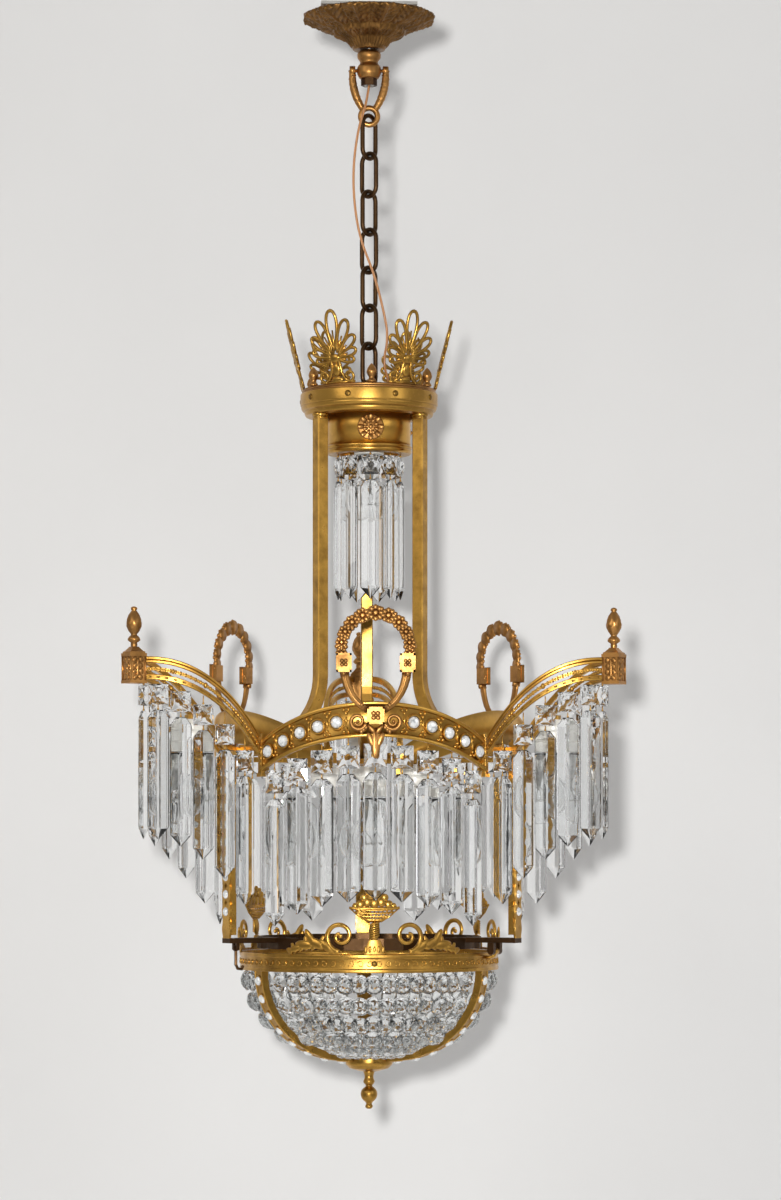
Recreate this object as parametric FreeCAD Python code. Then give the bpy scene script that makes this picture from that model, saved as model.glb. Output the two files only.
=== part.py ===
import FreeCAD, Part
import math
import os

os.makedirs("parts", exist_ok=True)
V = FreeCAD.Vector

# Crystal chandelier: a cast brass ceiling light hung with cut prisms.
# Millimetres. +Z up, origin where the strap meets the ceiling, front along -Y.
# The body has threefold symmetry: arches face FACES, corner arms point to CORNERS.
FACES = (270.0, 30.0, 150.0)
CORNERS = (210.0, 330.0, 90.0)
clear = 0.3                 # gap between pieces that move against each other

# ceiling group
strap_len, strap_w, strap_t = 96.0, 18.0, 3.0
strap_hole_r, strap_spacing = 2.6, 70.0
nipple_r, nipple_bore_r = 5.0, 3.2
nipple_hole_r = nipple_r + 0.2
canopy_r, canopy_wall = 67.0, 1.8
canopy_rim_z, canopy_neck_z = -15.0, -47.5
canopy_lobes, canopy_lobe_r = 12, 7.0
collar_r, collar_mid_z, collar_low_z = 12.0, -60.0, -76.0
nut_across, nut_h = 14.0, 7.0
pin_r, pivot_z = 1.8, -68.0

# hanging loop
loop_w, loop_bar_r = 39.0, 2.9
loop_ring_r, loop_wire_r, loop_ring_z = 8.4, 3.0, -113.5
loop_slack = 3.6            # the first link crosses the ring at a slant and rides higher

# chain
link_count, link_wire_r = 7, 2.3
link_w, link_bow_dist = 23.6, 42.9
chain_az = 45.0             # the links lie in two planes at +/- this angle

# drum, from the rim down
eye_ring_r, eye_wire_r = 8.6, 2.5
rim_r, rim_top_z, rim_band_h = 68.6, -392.0, 12.5
mould_h, mould_r = 9.5, 62.0
plate_t = 2.5
drum_r, drum_wall, drum_h = 41.5, 2.0, 29.0
low_ring_r, low_ring_h = 43.0, 9.0
rosette_r, rosette_t = 13.5, 3.5
rim_screw_r, rim_screw_h, rim_screws = 3.2, 1.6, 9
curtain_r, curtain_bar = 31.5, 2.0

# crown
palm_count, palm_h, palm_w, palm_t = 6, 76.0, 38.0, 3.0
palm_base_r, palm_lean = 66.0, 14.0

# posts
post_w, post_r = 12.0, 57.0
post_bend_z = -674.0

# arches
arch_r, arch_t = 151.0, 3.0
arch_half, arch_top_z, arch_end_z, arch_h = 46.0, -704.5, -743.0, 34.0
lip_h, lip_t = 4.0, 2.2
jewel_r, jewel_step, jewels_per_side = 5.9, 360.0 / 51, 5

# corner arms
lobe_side_r, lobe_tip_v = 136.5, 7.5
lobe_root_u, lobe_root_v = arch_r - 3.5, 36.8
block_u, block_w = arch_r + 116.0, 18.5
block_top_z, block_low_z = arch_top_z + 46.5, arch_top_z + 17.5
flame_top_z = block_top_z + 45.0
bar_w, grille_steps = 5.0, 5
top_bar_z, top_bar_drop, top_bar_h = block_top_z - 3.0, 79.0, 6.5
mid_bar_z, mid_bar_drop, mid_bar_h = block_top_z - 12.5, 77.0, 5.0
low_bar_z, low_bar_drop, low_bar_h = block_top_z - 20.0, 75.0, 5.5

# pendants
bead_w, bead_t = 22.5, 9.0
bead_proud = 1.2            # the leaf drop stands this far off the arch, clear of the middle bead
prism_w, prism_t = 24.0, 9.0
lobe_prism_w, upper_prism_w = 21.0, 20.5
pin_gap, wire_r = 5.0, 0.85
arch_drop, lobe_drop, upper_drop = 123.0, 124.0, 118.0
arch_pendants, lobe_pendants, upper_pendants = 9, 5, 9

# lower hoop and strips
hoop_t, hoop_top_z, hoop_low_z = 3.0, -933.0, -944.5
strip_w, strip_t, strip_side = 15.0, 2.0, 5.5
strip_r = arch_r + 12.0
strip_pitch = 17.0

# bowl
bowl_ring_r, bowl_ring_t = 129.5, 3.5
bowl_top_z, bowl_low_z = -948.0, -966.0
bowl_bottom_z, bowl_cap_r = -1057.5, 24.0
rib_t, rib_side = 2.0, 5.5
finial_neck_r, finial_ball_r, finial_low_z = 6.0, 8.5, -1106.0
hinge_pin_r, knuckle_r = 1.6, 3.4
bowl_hinge_z = -946.5
hoop_r = bowl_ring_r - 17.5
hinge_r = bowl_ring_r + 10.0
catch_r = bowl_ring_r + 24.5
bead_fill = 0.405           # half width of a bowl bead over its share of the row

# lamps
glass_r, glass_neck_r, socket_r, socket_h = 27.5, 12.0, 15.0, 32.0
upper_glass_r = 22.0
lamp_drop = 43.0
lamp_gap = 10.5             # from a strip's face to the outer lamp's glass
outer_lamp_r, outer_lamp_z = strip_r + strip_t + glass_r + lamp_gap, -795.0
inner_lamp_r, inner_lamp_z = 52.0, -837.0

# supply cord
cord_r = 1.25


def polar(r, az, z=0.0):
    a = math.radians(az)
    return V(r * math.cos(a), r * math.sin(a), z)


def sides_for(radius):
    """Number of flats that stands in for a round of this radius."""
    return 48 if radius > 100 else 36 if radius > 50 else 24 if radius > 20 else 16 if radius > 8 else 12


def turned(profile, centre=(0.0, 0.0), z=0.0, sides=None):
    """Turned piece from a closed (radius, height) profile, in narrow flats; one flat faces front."""
    n = sides or sides_for(max(r for r, _ in profile))
    turn = 270.0 + 180.0 / n
    faces = []
    for i in range(len(profile)):
        (r0, z0), (r1, z1) = profile[i], profile[(i + 1) % len(profile)]
        if r0 == 0 and r1 == 0:
            continue
        if z0 == z1:
            face = Part.Face(Part.makePolygon([V(x, y, z0) for x, y in ngon(max(r0, r1), n, turn) + ngon(
                max(r0, r1), n, turn)[:1]]))
            if min(r0, r1) > 0:
                hole = [V(x, y, z0) for x, y in ngon(min(r0, r1), n, turn)]
                face = face.cut(Part.Face(Part.makePolygon(hole + [hole[0]])))
            faces += face.Faces
            continue
        lo, hi = ngon(r0, n, turn), ngon(r1, n, turn)
        for j in range(n):
            k = (j + 1) % n
            pts = [V(lo[j][0], lo[j][1], z0), V(lo[k][0], lo[k][1], z0),
                   V(hi[k][0], hi[k][1], z1), V(hi[j][0], hi[j][1], z1)]
            if r0 == 0:
                pts = [pts[0], pts[2], pts[3]]
            elif r1 == 0:
                pts = pts[:3]
            faces.append(Part.Face(Part.makePolygon(pts + [pts[0]])))
    shell = Part.Shell(faces)
    shell.sewShape()
    solid = Part.Solid(shell)
    if solid.Volume < 0:
        solid.reverse()
    solid.translate(V(centre[0], centre[1], z))
    return solid


def tube(r_out, r_in, z_low, z_high, sides=None):
    return turned([(r_in, z_low), (r_out, z_low), (r_out, z_high), (r_in, z_high)], sides=sides)


def disc(radius, height, at, sides=None):
    """Upright many-sided stud or cutter."""
    return turned([(0, at.z), (radius, at.z), (radius, at.z + height), (0, at.z + height)],
                  (at.x, at.y), sides=sides)


def rod(radius, length, at, along, sides=8):
    """Many-sided bar from a point along a horizontal direction."""
    out = pyramid_stack([(radius, 0), (radius, length)], sides, 180.0 / sides)
    out.rotate(V(0, 0, 0), V(0, 1, 0), 90)
    out.rotate(V(0, 0, 0), V(0, 0, 1), math.degrees(math.atan2(along.y, along.x)))
    out.translate(at)
    return out


def slab(points, direction):
    """Flat outline pushed along a direction."""
    pts = [V(*p) for p in points]
    return Part.Face(Part.makePolygon(pts + [pts[0]])).extrude(V(*direction))


def spun(shape, az, at=(0, 0, 0)):
    """Copy of a shape turned about +Z, then moved."""
    out = shape.copy()
    out.rotate(V(0, 0, 0), V(0, 0, 1), az)
    out.translate(V(*at))
    return out


def faced(shape, az):
    """Copy of a shape modelled at the front (-Y), turned to face an azimuth."""
    return spun(shape, az - 270.0)


def fused(shapes):
    out = shapes[0]
    if len(shapes) > 1:
        out = out.fuse(shapes[1:])
        out = out.removeSplitter()
    return out


def lofted(sections, ruled=True):
    wires = []
    for pts in sections:
        pts = [V(*p) for p in pts]
        wires.append(Part.makePolygon(pts + [pts[0]]))
    return Part.makeLoft(wires, True, ruled)


def ngon(radius, sides, turn=0.0):
    out = []
    for i in range(sides):
        a = math.radians(turn + 360.0 * i / sides)
        out.append((radius * math.cos(a), radius * math.sin(a)))
    return out


def swept(path, sides, radius, closed=False, up=V(0, 1, 0)):
    """Bar with a regular section along a planar path; up is the plane's normal."""
    rings = []
    n = len(path)
    for i in range(n):
        before = path[(i - 1) % n] if closed or i else path[0]
        after = path[(i + 1) % n] if closed or i < n - 1 else path[-1]
        a = (path[i] - before) if (closed or i) else (after - path[i])
        b = (after - path[i]) if (closed or i < n - 1) else a
        a.normalize()
        b.normalize()
        tan = a + b
        tan.normalize()
        side = up.cross(tan)
        side.normalize()
        mitre = 1.0 / max(0.3, a.dot(tan))
        ring = []
        for x, y in ngon(radius, sides, 180.0 / sides):
            ring.append(path[i] + side * (x * mitre) + up * y)
        rings.append(ring)
    faces = []
    last = n if closed else n - 1
    for i in range(last):
        r0, r1 = rings[i], rings[(i + 1) % n]
        for j in range(sides):
            k = (j + 1) % sides
            quad = [r0[j], r0[k], r1[k], r1[j]]
            faces.append(Part.Face(Part.makePolygon(quad + [quad[0]])))
    if not closed:
        faces.append(Part.Face(Part.makePolygon(rings[0] + [rings[0][0]])))
        faces.append(Part.Face(Part.makePolygon(rings[-1] + [rings[-1][0]])))
    shell = Part.Shell(faces)
    solid = Part.Solid(shell)
    if solid.Volume < 0:
        solid.reverse()
    return solid


def pyramid_stack(rows, sides, turn=0.0):
    """Faceted solid: (radius, height) rows of regular polygons; radius 0 is a point."""
    faces = []
    for (r0, z0), (r1, z1) in zip(rows[:-1], rows[1:]):
        lo, hi = ngon(r0, sides, turn), ngon(r1, sides, turn)
        for j in range(sides):
            k = (j + 1) % sides
            pts = [V(lo[j][0], lo[j][1], z0), V(lo[k][0], lo[k][1], z0),
                   V(hi[k][0], hi[k][1], z1), V(hi[j][0], hi[j][1], z1)]
            if r0 == 0:
                pts = [pts[0], pts[2], pts[3]]
            elif r1 == 0:
                pts = pts[:3]
            faces.append(Part.Face(Part.makePolygon(pts + [pts[0]])))
    for (r, z) in (rows[0], rows[-1]):
        if r > 0:
            pts = [V(x, y, z) for x, y in ngon(r, sides, turn)]
            faces.append(Part.Face(Part.makePolygon(pts + [pts[0]])))
    solid = Part.Solid(Part.Shell(faces))
    if solid.Volume < 0:
        solid.reverse()
    return solid


def save(name, shapes):
    if not isinstance(shapes, (list, tuple)):
        shapes = [shapes]
    solids = []
    for s in shapes:
        solids.extend(s.Solids)
    out = solids[0] if len(solids) == 1 else Part.makeCompound(solids)
    out.exportStep("parts/%s.step" % name)
    return out


# ---------------------------------------------------------------- ceiling group
def ceiling_group():
    strap = Part.makeBox(strap_len, strap_w, strap_t, V(-strap_len / 2, -strap_w / 2, -strap_t))
    for x in (-strap_spacing / 2, strap_spacing / 2):
        strap = strap.cut(Part.makeCylinder(strap_hole_r, strap_t, V(x, 0, -strap_t)))
    strap = strap.cut(turned([(0, -strap_t), (nipple_r, -strap_t), (nipple_r, 0), (0, 0)]))
    save("ceiling_strap", strap)

    save("threaded_nipple", tube(nipple_r, nipple_bore_r, collar_low_z - nut_h, 0.0))

    # cast rose: thin shell, wide rim, stepped cone to a flat neck
    w = canopy_wall
    outer = [(canopy_r, canopy_rim_z), (canopy_r - 5, canopy_rim_z - 3),
             (38, -27), (34, -33), (21, -37), (16, canopy_neck_z)]
    inner = [(16 - w, canopy_neck_z + w), (21 - w, -37 + w), (36 - w, -29 + w),
             (canopy_r - 5, canopy_rim_z - 3 + w), (canopy_r, canopy_rim_z + w)]
    canopy = turned(outer + [(nipple_hole_r, canopy_neck_z), (nipple_hole_r, canopy_neck_z + w)] + inner, sides=24)
    nicks = []
    for i in range(canopy_lobes):
        at = polar(canopy_r + canopy_lobe_r * 0.55, 360.0 * i / canopy_lobes + 15.0, canopy_rim_z - 8)
        nicks.append(disc(canopy_lobe_r, 16, at, 6))
    save("canopy", canopy.cut(nicks))

    collar = turned([(nipple_hole_r, collar_low_z), (9.5, collar_low_z), (collar_r, collar_low_z + 4),
                     (collar_r, collar_mid_z - 4), (9.0, collar_mid_z), (collar_r, collar_mid_z + 5),
                     (collar_r - 1, canopy_neck_z - 3), (8.0, canopy_neck_z), (nipple_hole_r, canopy_neck_z)])
    pins = Part.makeCylinder(pin_r, loop_w, V(-loop_w / 2, 0, pivot_z), V(1, 0, 0))
    pins = pins.cut(disc(collar_r - 1, 40, V(0, 0, pivot_z - 20)))
    save("canopy_collar", fused([collar, pins]))

    hexa = pyramid_stack([(nut_across / 2 / math.cos(math.pi / 6), collar_low_z - nut_h),
                          (nut_across / 2 / math.cos(math.pi / 6), collar_low_z)], 6)
    low = collar_low_z - nut_h
    save("nipple_nut", hexa.cut(turned([(0, low), (nipple_r, low), (nipple_r, collar_low_z), (0, collar_low_z)])))


def hanging_loop():
    arm_x = loop_w / 2 - loop_bar_r
    foot_a = math.radians(48)
    foot = V(loop_ring_r * math.cos(foot_a), 0, loop_ring_z + loop_ring_r * math.sin(foot_a))
    mid = V(arm_x - 1.6, 0, (pivot_z + foot.z) / 2 + 2)
    solids = []
    for sx in (1, -1):
        arc = Part.Arc(V(sx * arm_x, 0, pivot_z), V(sx * mid.x, 0, mid.z), V(sx * foot.x, 0, foot.z))
        path = [arc.toShape().valueAt(t) for t in
                [arc.FirstParameter + (arc.LastParameter - arc.FirstParameter) * i / 5.0 for i in range(6)]]
        solids.append(swept(path, 6, loop_bar_r))
        eye = rod(loop_bar_r + 2.0, 2 * loop_bar_r, V(sx * arm_x - loop_bar_r, 0, pivot_z), V(1, 0, 0), 12)
        solids.append(eye)
    ring = [V(loop_ring_r * math.cos(a), 0, loop_ring_z + loop_ring_r * math.sin(a))
            for a in [math.radians(-90 + 36 * i) for i in range(10)]]
    solids.append(swept(ring, 6, loop_wire_r, closed=True))
    body = fused(solids)
    for sx in (1, -1):
        body = body.cut(Part.makeCylinder(pin_r + clear, 4 * loop_bar_r + 4,
                                          V(sx * arm_x - 2 * loop_bar_r - 2, 0, pivot_z), V(1, 0, 0)))
    save("hanging_loop", body)


def link_z(k):
    """Height of the top bow's wire centre on link k (counted from 1)."""
    first = loop_ring_z - loop_ring_r + loop_wire_r + link_wire_r + clear + loop_slack
    return first - (k - 1) * (link_bow_dist - 2 * link_wire_r - clear)


def chain():
    bow_r = link_w / 2 - link_wire_r
    half = link_bow_dist / 2 - bow_r
    path = []
    for sign in (1, -1):
        for i in range(7):
            a = math.radians(30 * i + (0 if sign > 0 else 180))
            path.append(V(bow_r * math.cos(a), 0, sign * half + bow_r * math.sin(a)))
    one = swept(path, 6, link_wire_r, closed=True)
    for k in range(1, link_count + 1):
        az = chain_az if k % 2 else -chain_az
        save("chain_link_%d" % k, spun(one, az, (0, 0, link_z(k) - link_bow_dist / 2)))


def eye_bar_z():
    return link_z(link_count) - link_bow_dist + link_wire_r + clear + eye_wire_r


# ---------------------------------------------------------------- drum and crown
def drum():
    z_eye = eye_bar_z()
    ring = [V(eye_ring_r * math.cos(a), 0, eye_ring_r * math.sin(a))
            for a in [math.radians(18 + 36 * i) for i in range(10)]]
    eye = swept(ring, 6, eye_wire_r, closed=True)
    eye.translate(V(0, 0, z_eye - eye_ring_r))
    plate_top = rim_top_z - rim_band_h + plate_t
    stem_top = z_eye - 2 * eye_ring_r
    stem = turned([(0, plate_top), (9, plate_top), (9, plate_top + 2), (5, plate_top + 3.5),
                   (4.2, stem_top), (0, stem_top)])
    save("body_eye", spun(fused([eye, stem]), -chain_az if link_count % 2 else chain_az))

    step_r = rim_r - 2.5
    low = rim_top_z - rim_band_h
    plate = turned([(0, low), (step_r, low), (step_r, plate_top), (0, plate_top)])
    save("drum_top_plate", plate.cut(Part.makeCylinder(4.0, 20, V(16, 8, low - 10))))

    inner = post_r - post_w / 2 - 1
    save("drum_rim", turned([(step_r, rim_top_z), (rim_r, rim_top_z), (rim_r, low),
                             (mould_r + 2, low - mould_h * 0.5),
                             (mould_r + 1.5, low - mould_h), (inner, low - mould_h),
                             (inner, low), (step_r, low)]))
    screws = []
    for i in range(rim_screws):
        az = 270.0 + 360.0 * (i + 0.5) / rim_screws
        flat = rim_r * math.cos(math.pi / sides_for(rim_r))
        screws.append(spun(rod(rim_screw_r, rim_screw_h, V(flat, 0, rim_top_z - rim_band_h * 0.5), V(1, 0, 0), 6), az))
    save("rim_screws", screws)

    shell_low = low - drum_h - mould_h
    save("drum_shell", tube(drum_r, drum_r - drum_wall, shell_low, low))
    blooms = []
    for az in FACES:
        pts = []
        for i in range(12):
            r = rosette_r if i % 2 else rosette_r * 0.72
            a = math.radians(30.0 * i)
            pts.append((r * math.cos(a), -drum_r - rosette_t, r * math.sin(a)))
        bloom = slab(pts, (0, rosette_t + 4, 0))
        hub = pyramid_stack([(rosette_r * 0.36, 0), (rosette_r * 0.22, 2.4)], 8)
        hub.rotate(V(0, 0, 0), V(1, 0, 0), 90)
        hub.translate(V(0, -drum_r - rosette_t, 0))
        bloom = fused([bloom, hub]).cut(disc(drum_r, 60, V(0, 0, -30)))
        bloom.translate(V(0, 0, low - mould_h - drum_h / 2))
        blooms.append(faced(bloom, az))
    save("drum_rosettes", blooms)

    low_inner = curtain_r - curtain_bar
    save("drum_lower_ring", turned([
        (socket_r, shell_low), (drum_r, shell_low), (low_ring_r, shell_low - 2),
        (low_ring_r, shell_low - low_ring_h + 2), (low_ring_r - 2, shell_low - low_ring_h),
        (low_inner, shell_low - low_ring_h), (low_inner, shell_low - plate_t), (socket_r, shell_low - plate_t)]))
    return shell_low


def palmette():
    """Pierced fan of seven petals on a waisted stalk, in the XZ plane, back at y = 0."""
    hub_h = palm_h * 0.32
    reach = [16.0, 25.0, 40.0, palm_h - hub_h, 40.0, 25.0, 16.0]
    wide = palm_w / 38.0
    left = []
    for i, length in enumerate(reach):
        a0 = 6.0 + 28.0 * i
        for da, k in (((-5.5, 0.98), (5.5, 0.98)) if abs(i - 3) < 2 else ((0.0, 1.0),)):
            a = math.radians(a0 + da)
            left.append((wide * k * length * math.cos(a), 0, hub_h + k * length * math.sin(a)))
        if i < 6:
            a = math.radians(a0 + 14)
            valley = 0.70 * min(length, reach[i + 1]) + 3
            left.append((wide * valley * math.cos(a), 0, hub_h + valley * math.sin(a)))
    left += [(-7, 0, hub_h - 6), (-5, 0, hub_h - 13), (-9, 0, 4), (-11, 0, 0),
             (11, 0, 0), (9, 0, 4), (5, 0, hub_h - 13), (7, 0, hub_h - 6)]
    fan = slab(left, (0, -palm_t, 0))
    for i in range(1, 6):
        length = reach[i]
        a = math.radians(6.0 + 28.0 * i)
        c, s = math.cos(a), math.sin(a)
        eye = []
        for along, across in ((0.40, 0), (0.86, 2.0 + 0.03 * length), (0.86, -2.0 - 0.03 * length)):
            eye.append((wide * (along * length * c - across * s), 1, hub_h + along * length * s + across * c))
        fan = fan.cut(slab(eye, (0, -palm_t - 2, 0)))
    curls = []
    for sx in (1, -1):
        curl = pyramid_stack([(5.6, 0), (5.6, palm_t)], 6)
        curl.rotate(V(0, 0, 0), V(1, 0, 0), 90)
        curl.translate(V(sx * 13.2, 0, 5.2))
        curls.append(curl)
    return fused([fan] + curls)


def crown():
    band_h = 4.5
    band_in, band_out = palm_base_r - 3.6, palm_base_r + 1.4
    band = tube(band_out, band_in, rim_top_z, rim_top_z + band_h)
    leaf = palmette()
    leaf.rotate(V(0, 0, 0), V(1, 0, 0), palm_lean)
    leaf.translate(V(0, -palm_base_r + 2.2, rim_top_z + band_h))
    leaf = leaf.cut(disc(90, 20, V(0, 0, rim_top_z + band_h - 20), 8))
    leaves = [faced(leaf, 270.0 + 30.0 + 60.0 * i) for i in range(palm_count)]
    save("crown_palmettes", leaves)
    knobs = []
    for i in range(palm_count):
        knob = pyramid_stack([(4.6, 0), (3.0, 5), (5.4, 10), (0, 19)], 5)
        at = polar(palm_base_r - 1, 270.0 + 60.0 * i, rim_top_z + band_h)
        knobs.append(spun(knob, 60.0 * i, (at.x, at.y, at.z)))
    save("crown_band", [band] + knobs)


# ---------------------------------------------------------------- posts, arches, arms
def lobe_point(share):
    """Plan point (u, v) on one side of a corner arm; share 0 at the root, 1 at the tip."""
    tip_u = block_u - block_w / 2
    p0, p1 = V(lobe_root_u, lobe_root_v, 0), V(tip_u, lobe_tip_v, 0)
    chord = p1 - p0
    half = chord.Length / 2
    out = V(-chord.y, chord.x, 0)
    out.normalize()
    centre = (p0 + p1) * 0.5 - out * math.sqrt(lobe_side_r ** 2 - half ** 2)
    a0 = math.atan2(p0.y - centre.y, p0.x - centre.x)
    a1 = math.atan2(p1.y - centre.y, p1.x - centre.x)
    a = a0 + (a1 - a0) * share
    point = centre + V(math.cos(a), math.sin(a), 0) * lobe_side_r
    normal = V(math.cos(a), math.sin(a), 0)
    return point, normal, lobe_side_r * abs(a1 - a0)


def sweep_fall(share):
    """Share of the full drop of the arm at a place between root (0) and tip (1)."""
    return (1.0 - share) ** 2.2


def ribbon(rings):
    """Bar through four-cornered sections given as lists of points."""
    faces = []
    for r0, r1 in zip(rings[:-1], rings[1:]):
        for j in range(4):
            k = (j + 1) % 4
            faces.append(Part.Face(Part.makePolygon([r0[j], r0[k], r1[k], r0[j]])))
            faces.append(Part.Face(Part.makePolygon([r0[j], r1[k], r1[j], r0[j]])))
    for r in (rings[0], rings[-1]):
        faces.append(Part.Face(Part.makePolygon(r + [r[0]])))
    solid = Part.Solid(Part.Shell(faces))
    if solid.Volume < 0:
        solid.reverse()
    return solid


def arm_bar(top_z, drop, width, height, steps=grille_steps):
    """One grille bar on the +v side of an arm whose axis lies along +X."""
    rings = []
    for i in range(steps + 1):
        share = i / float(steps)
        p, n, _ = lobe_point(share)
        z = top_z - drop * sweep_fall(share)
        a, b = p + n * (width / 2), p - n * (width / 2)
        rings.append([V(a.x, a.y, z), V(b.x, b.y, z), V(b.x, b.y, z - height), V(a.x, a.y, z - height)])
    return ribbon(rings)


def mirrored(shape):
    return shape.mirror(V(0, 0, 0), V(0, 1, 0))


def junction_box():
    """Casting on the +v side at the root of an arm, in the arm's frame."""
    w, d = 9.0, 11.0
    box = Part.makeBox(d, w, 36.0, V(lobe_root_u - d + 2.5, lobe_root_v - w / 2 + 0.5, arch_end_z - 33.0))
    cap = lofted([[(lobe_root_u - d + 2.5, lobe_root_v - w / 2 + 0.5, arch_end_z + 3),
                   (lobe_root_u + 2.5, lobe_root_v - w / 2 + 0.5, arch_end_z + 3),
                   (lobe_root_u + 2.5, lobe_root_v + w / 2 + 0.5, arch_end_z + 3),
                   (lobe_root_u - d + 2.5, lobe_root_v + w / 2 + 0.5, arch_end_z + 3)],
                  [(lobe_root_u - d + 5, lobe_root_v - 2, arch_end_z + 9),
                   (lobe_root_u, lobe_root_v - 2, arch_end_z + 9),
                   (lobe_root_u, lobe_root_v + 3, arch_end_z + 9),
                   (lobe_root_u - d + 5, lobe_root_v + 3, arch_end_z + 9)]])
    return fused([box, cap])


def junctions():
    one = junction_box()
    pair = [one, mirrored(one)]
    return [spun(p, az) for az in CORNERS for p in pair]


def arms():
    joints = junctions()
    save("junction_castings", joints)
    one = junction_box()
    levels = ((top_bar_z, top_bar_drop, bar_w, top_bar_h), (mid_bar_z, mid_bar_drop, bar_w - 1.5, mid_bar_h),
              (low_bar_z, low_bar_drop, bar_w, low_bar_h))
    block = Part.makeBox(block_w, block_w, block_top_z - block_low_z,
                         V(block_u - block_w / 2, -block_w / 2, block_low_z))
    grilles = []
    for top_z, drop, w, h in levels:
        bar = arm_bar(top_z, drop, w, h).cut([one, block])
        grilles += [bar, mirrored(bar)]
    plinth = lofted([[(block_u - 8, -8, block_top_z), (block_u + 8, -8, block_top_z),
                      (block_u + 8, 8, block_top_z), (block_u - 8, 8, block_top_z)],
                     [(block_u - 4, -4, block_top_z + 6), (block_u + 4, -4, block_top_z + 6),
                      (block_u + 4, 4, block_top_z + 6), (block_u - 4, 4, block_top_z + 6)]])
    flame = pyramid_stack([(3.2, block_top_z + 6), (3.2, block_top_z + 10), (6.2, block_top_z + 13),
                           (3.0, block_top_z + 17), (4.4, block_top_z + 20), (8.0, block_top_z + 28),
                           (5.6, block_top_z + 36), (2.4, flame_top_z - 4), (3.4, flame_top_z - 2),
                           (0, flame_top_z)], 6)
    flame.translate(V(block_u, 0, 0))
    finial = fused([plinth, flame])
    for i, az in enumerate(CORNERS):
        name = ("left", "right", "rear")[i]
        save("grille_%s" % name, [spun(b, az) for b in grilles])
    save("corner_blocks", [spun(block, az) for az in CORNERS])
    save("flame_finials", [spun(finial, az) for az in CORNERS])

    # cross bars that close the root of each arm and carry the posts
    bar_z = arch_end_z - 3
    ring = tube(arch_r + 1, arch_r - 4, bar_z - 8, bar_z)
    span = math.degrees(math.atan2(lobe_root_v, lobe_root_u))
    wedge = slab([(0, 0, bar_z - 9), (300 * math.cos(math.radians(span)), -300 * math.sin(math.radians(span)), bar_z - 9),
                  (300 * math.cos(math.radians(span)), 300 * math.sin(math.radians(span)), bar_z - 9)], (0, 0, 10))
    cross = ring.common(wedge).cut([one, mirrored(one)])
    save("cross_bars", [spun(cross, az) for az in CORNERS])

    # posts: straight down, then out to the cross bars
    top = rim_top_z - rim_band_h - mould_h
    path = [V(post_r, 0, top)]
    reach = arch_r - 4 - post_r
    fall = post_bend_z - (bar_z - 4)
    for i in range(7):
        t = math.radians(15 * i)
        path.append(V(post_r + reach * (1 - math.cos(t)), 0, post_bend_z - fall * math.sin(t)))
    post = swept(path, 4, post_w / math.sqrt(2))
    post = post.cut(tube(arch_r + 20, arch_r - 4, bar_z - 20, bar_z + 20))
    for i, az in enumerate(CORNERS):
        name = ("left", "right", "rear")[i]
        save("post_%s" % name, spun(post, az))


def arch_edge(phi, low=False):
    """Height of the upper or lower edge of an arch at an angle from its middle."""
    s = math.radians(phi) * arch_r
    full = math.radians(arch_half) * arch_r
    rise = arch_top_z - arch_end_z
    radius = (full ** 2 + rise ** 2) / (2 * rise)
    fall = radius - math.sqrt(radius ** 2 - s ** 2)
    if low:
        return arch_top_z - arch_h - fall * 0.88
    return arch_top_z - fall


def arch_underside(phi, steps=12):
    """Height of the arch's lower edge, which runs straight between its outline's points."""
    knots = [-arch_half + 2 * arch_half * i / steps for i in range(steps + 1)]
    x = math.sin(math.radians(phi))
    for a, b in zip(knots[:-1], knots[1:]):
        xa, xb = math.sin(math.radians(a)), math.sin(math.radians(b))
        if xa <= x <= xb:
            break
    za, zb = arch_edge(a, True), arch_edge(b, True)
    return za + (zb - za) * (x - xa) / (xb - xa)


def arch_outline(inset_top, inset_low, steps=12):
    pts = []
    for i in range(steps + 1):
        phi = -arch_half + 2 * arch_half * i / steps
        pts.append((arch_r * math.sin(math.radians(phi)), -arch_r - 30, arch_edge(phi) - inset_top))
    for i in range(steps, -1, -1):
        phi = -arch_half + 2 * arch_half * i / steps
        pts.append((arch_r * math.sin(math.radians(phi)), -arch_r - 30, arch_edge(phi, True) + inset_low))
    return pts


def strip_outline(edge_low, height, steps=12):
    pts, back = [], []
    for i in range(steps + 1):
        phi = -arch_half + 2 * arch_half * i / steps
        x = arch_r * math.sin(math.radians(phi))
        z = arch_edge(phi, edge_low) + (height if edge_low else 0)
        pts.append((x, -arch_r - 30, z))
        back.insert(0, (x, -arch_r - 30, z - height))
    return pts + back


def jewel_angles():
    out = []
    for i in range(jewels_per_side):
        out += [jewel_step * (i + 2), -jewel_step * (i + 2)]
    return out


def facing_out(shape, radius, az, z):
    """Moves a shape made along +Z at the origin so that it points outward at an azimuth."""
    out = shape.copy()
    out.rotate(V(0, 0, 0), V(0, 1, 0), 90)
    out.translate(V(radius, 0, z))
    out.rotate(V(0, 0, 0), V(0, 0, 1), az)
    return out


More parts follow.
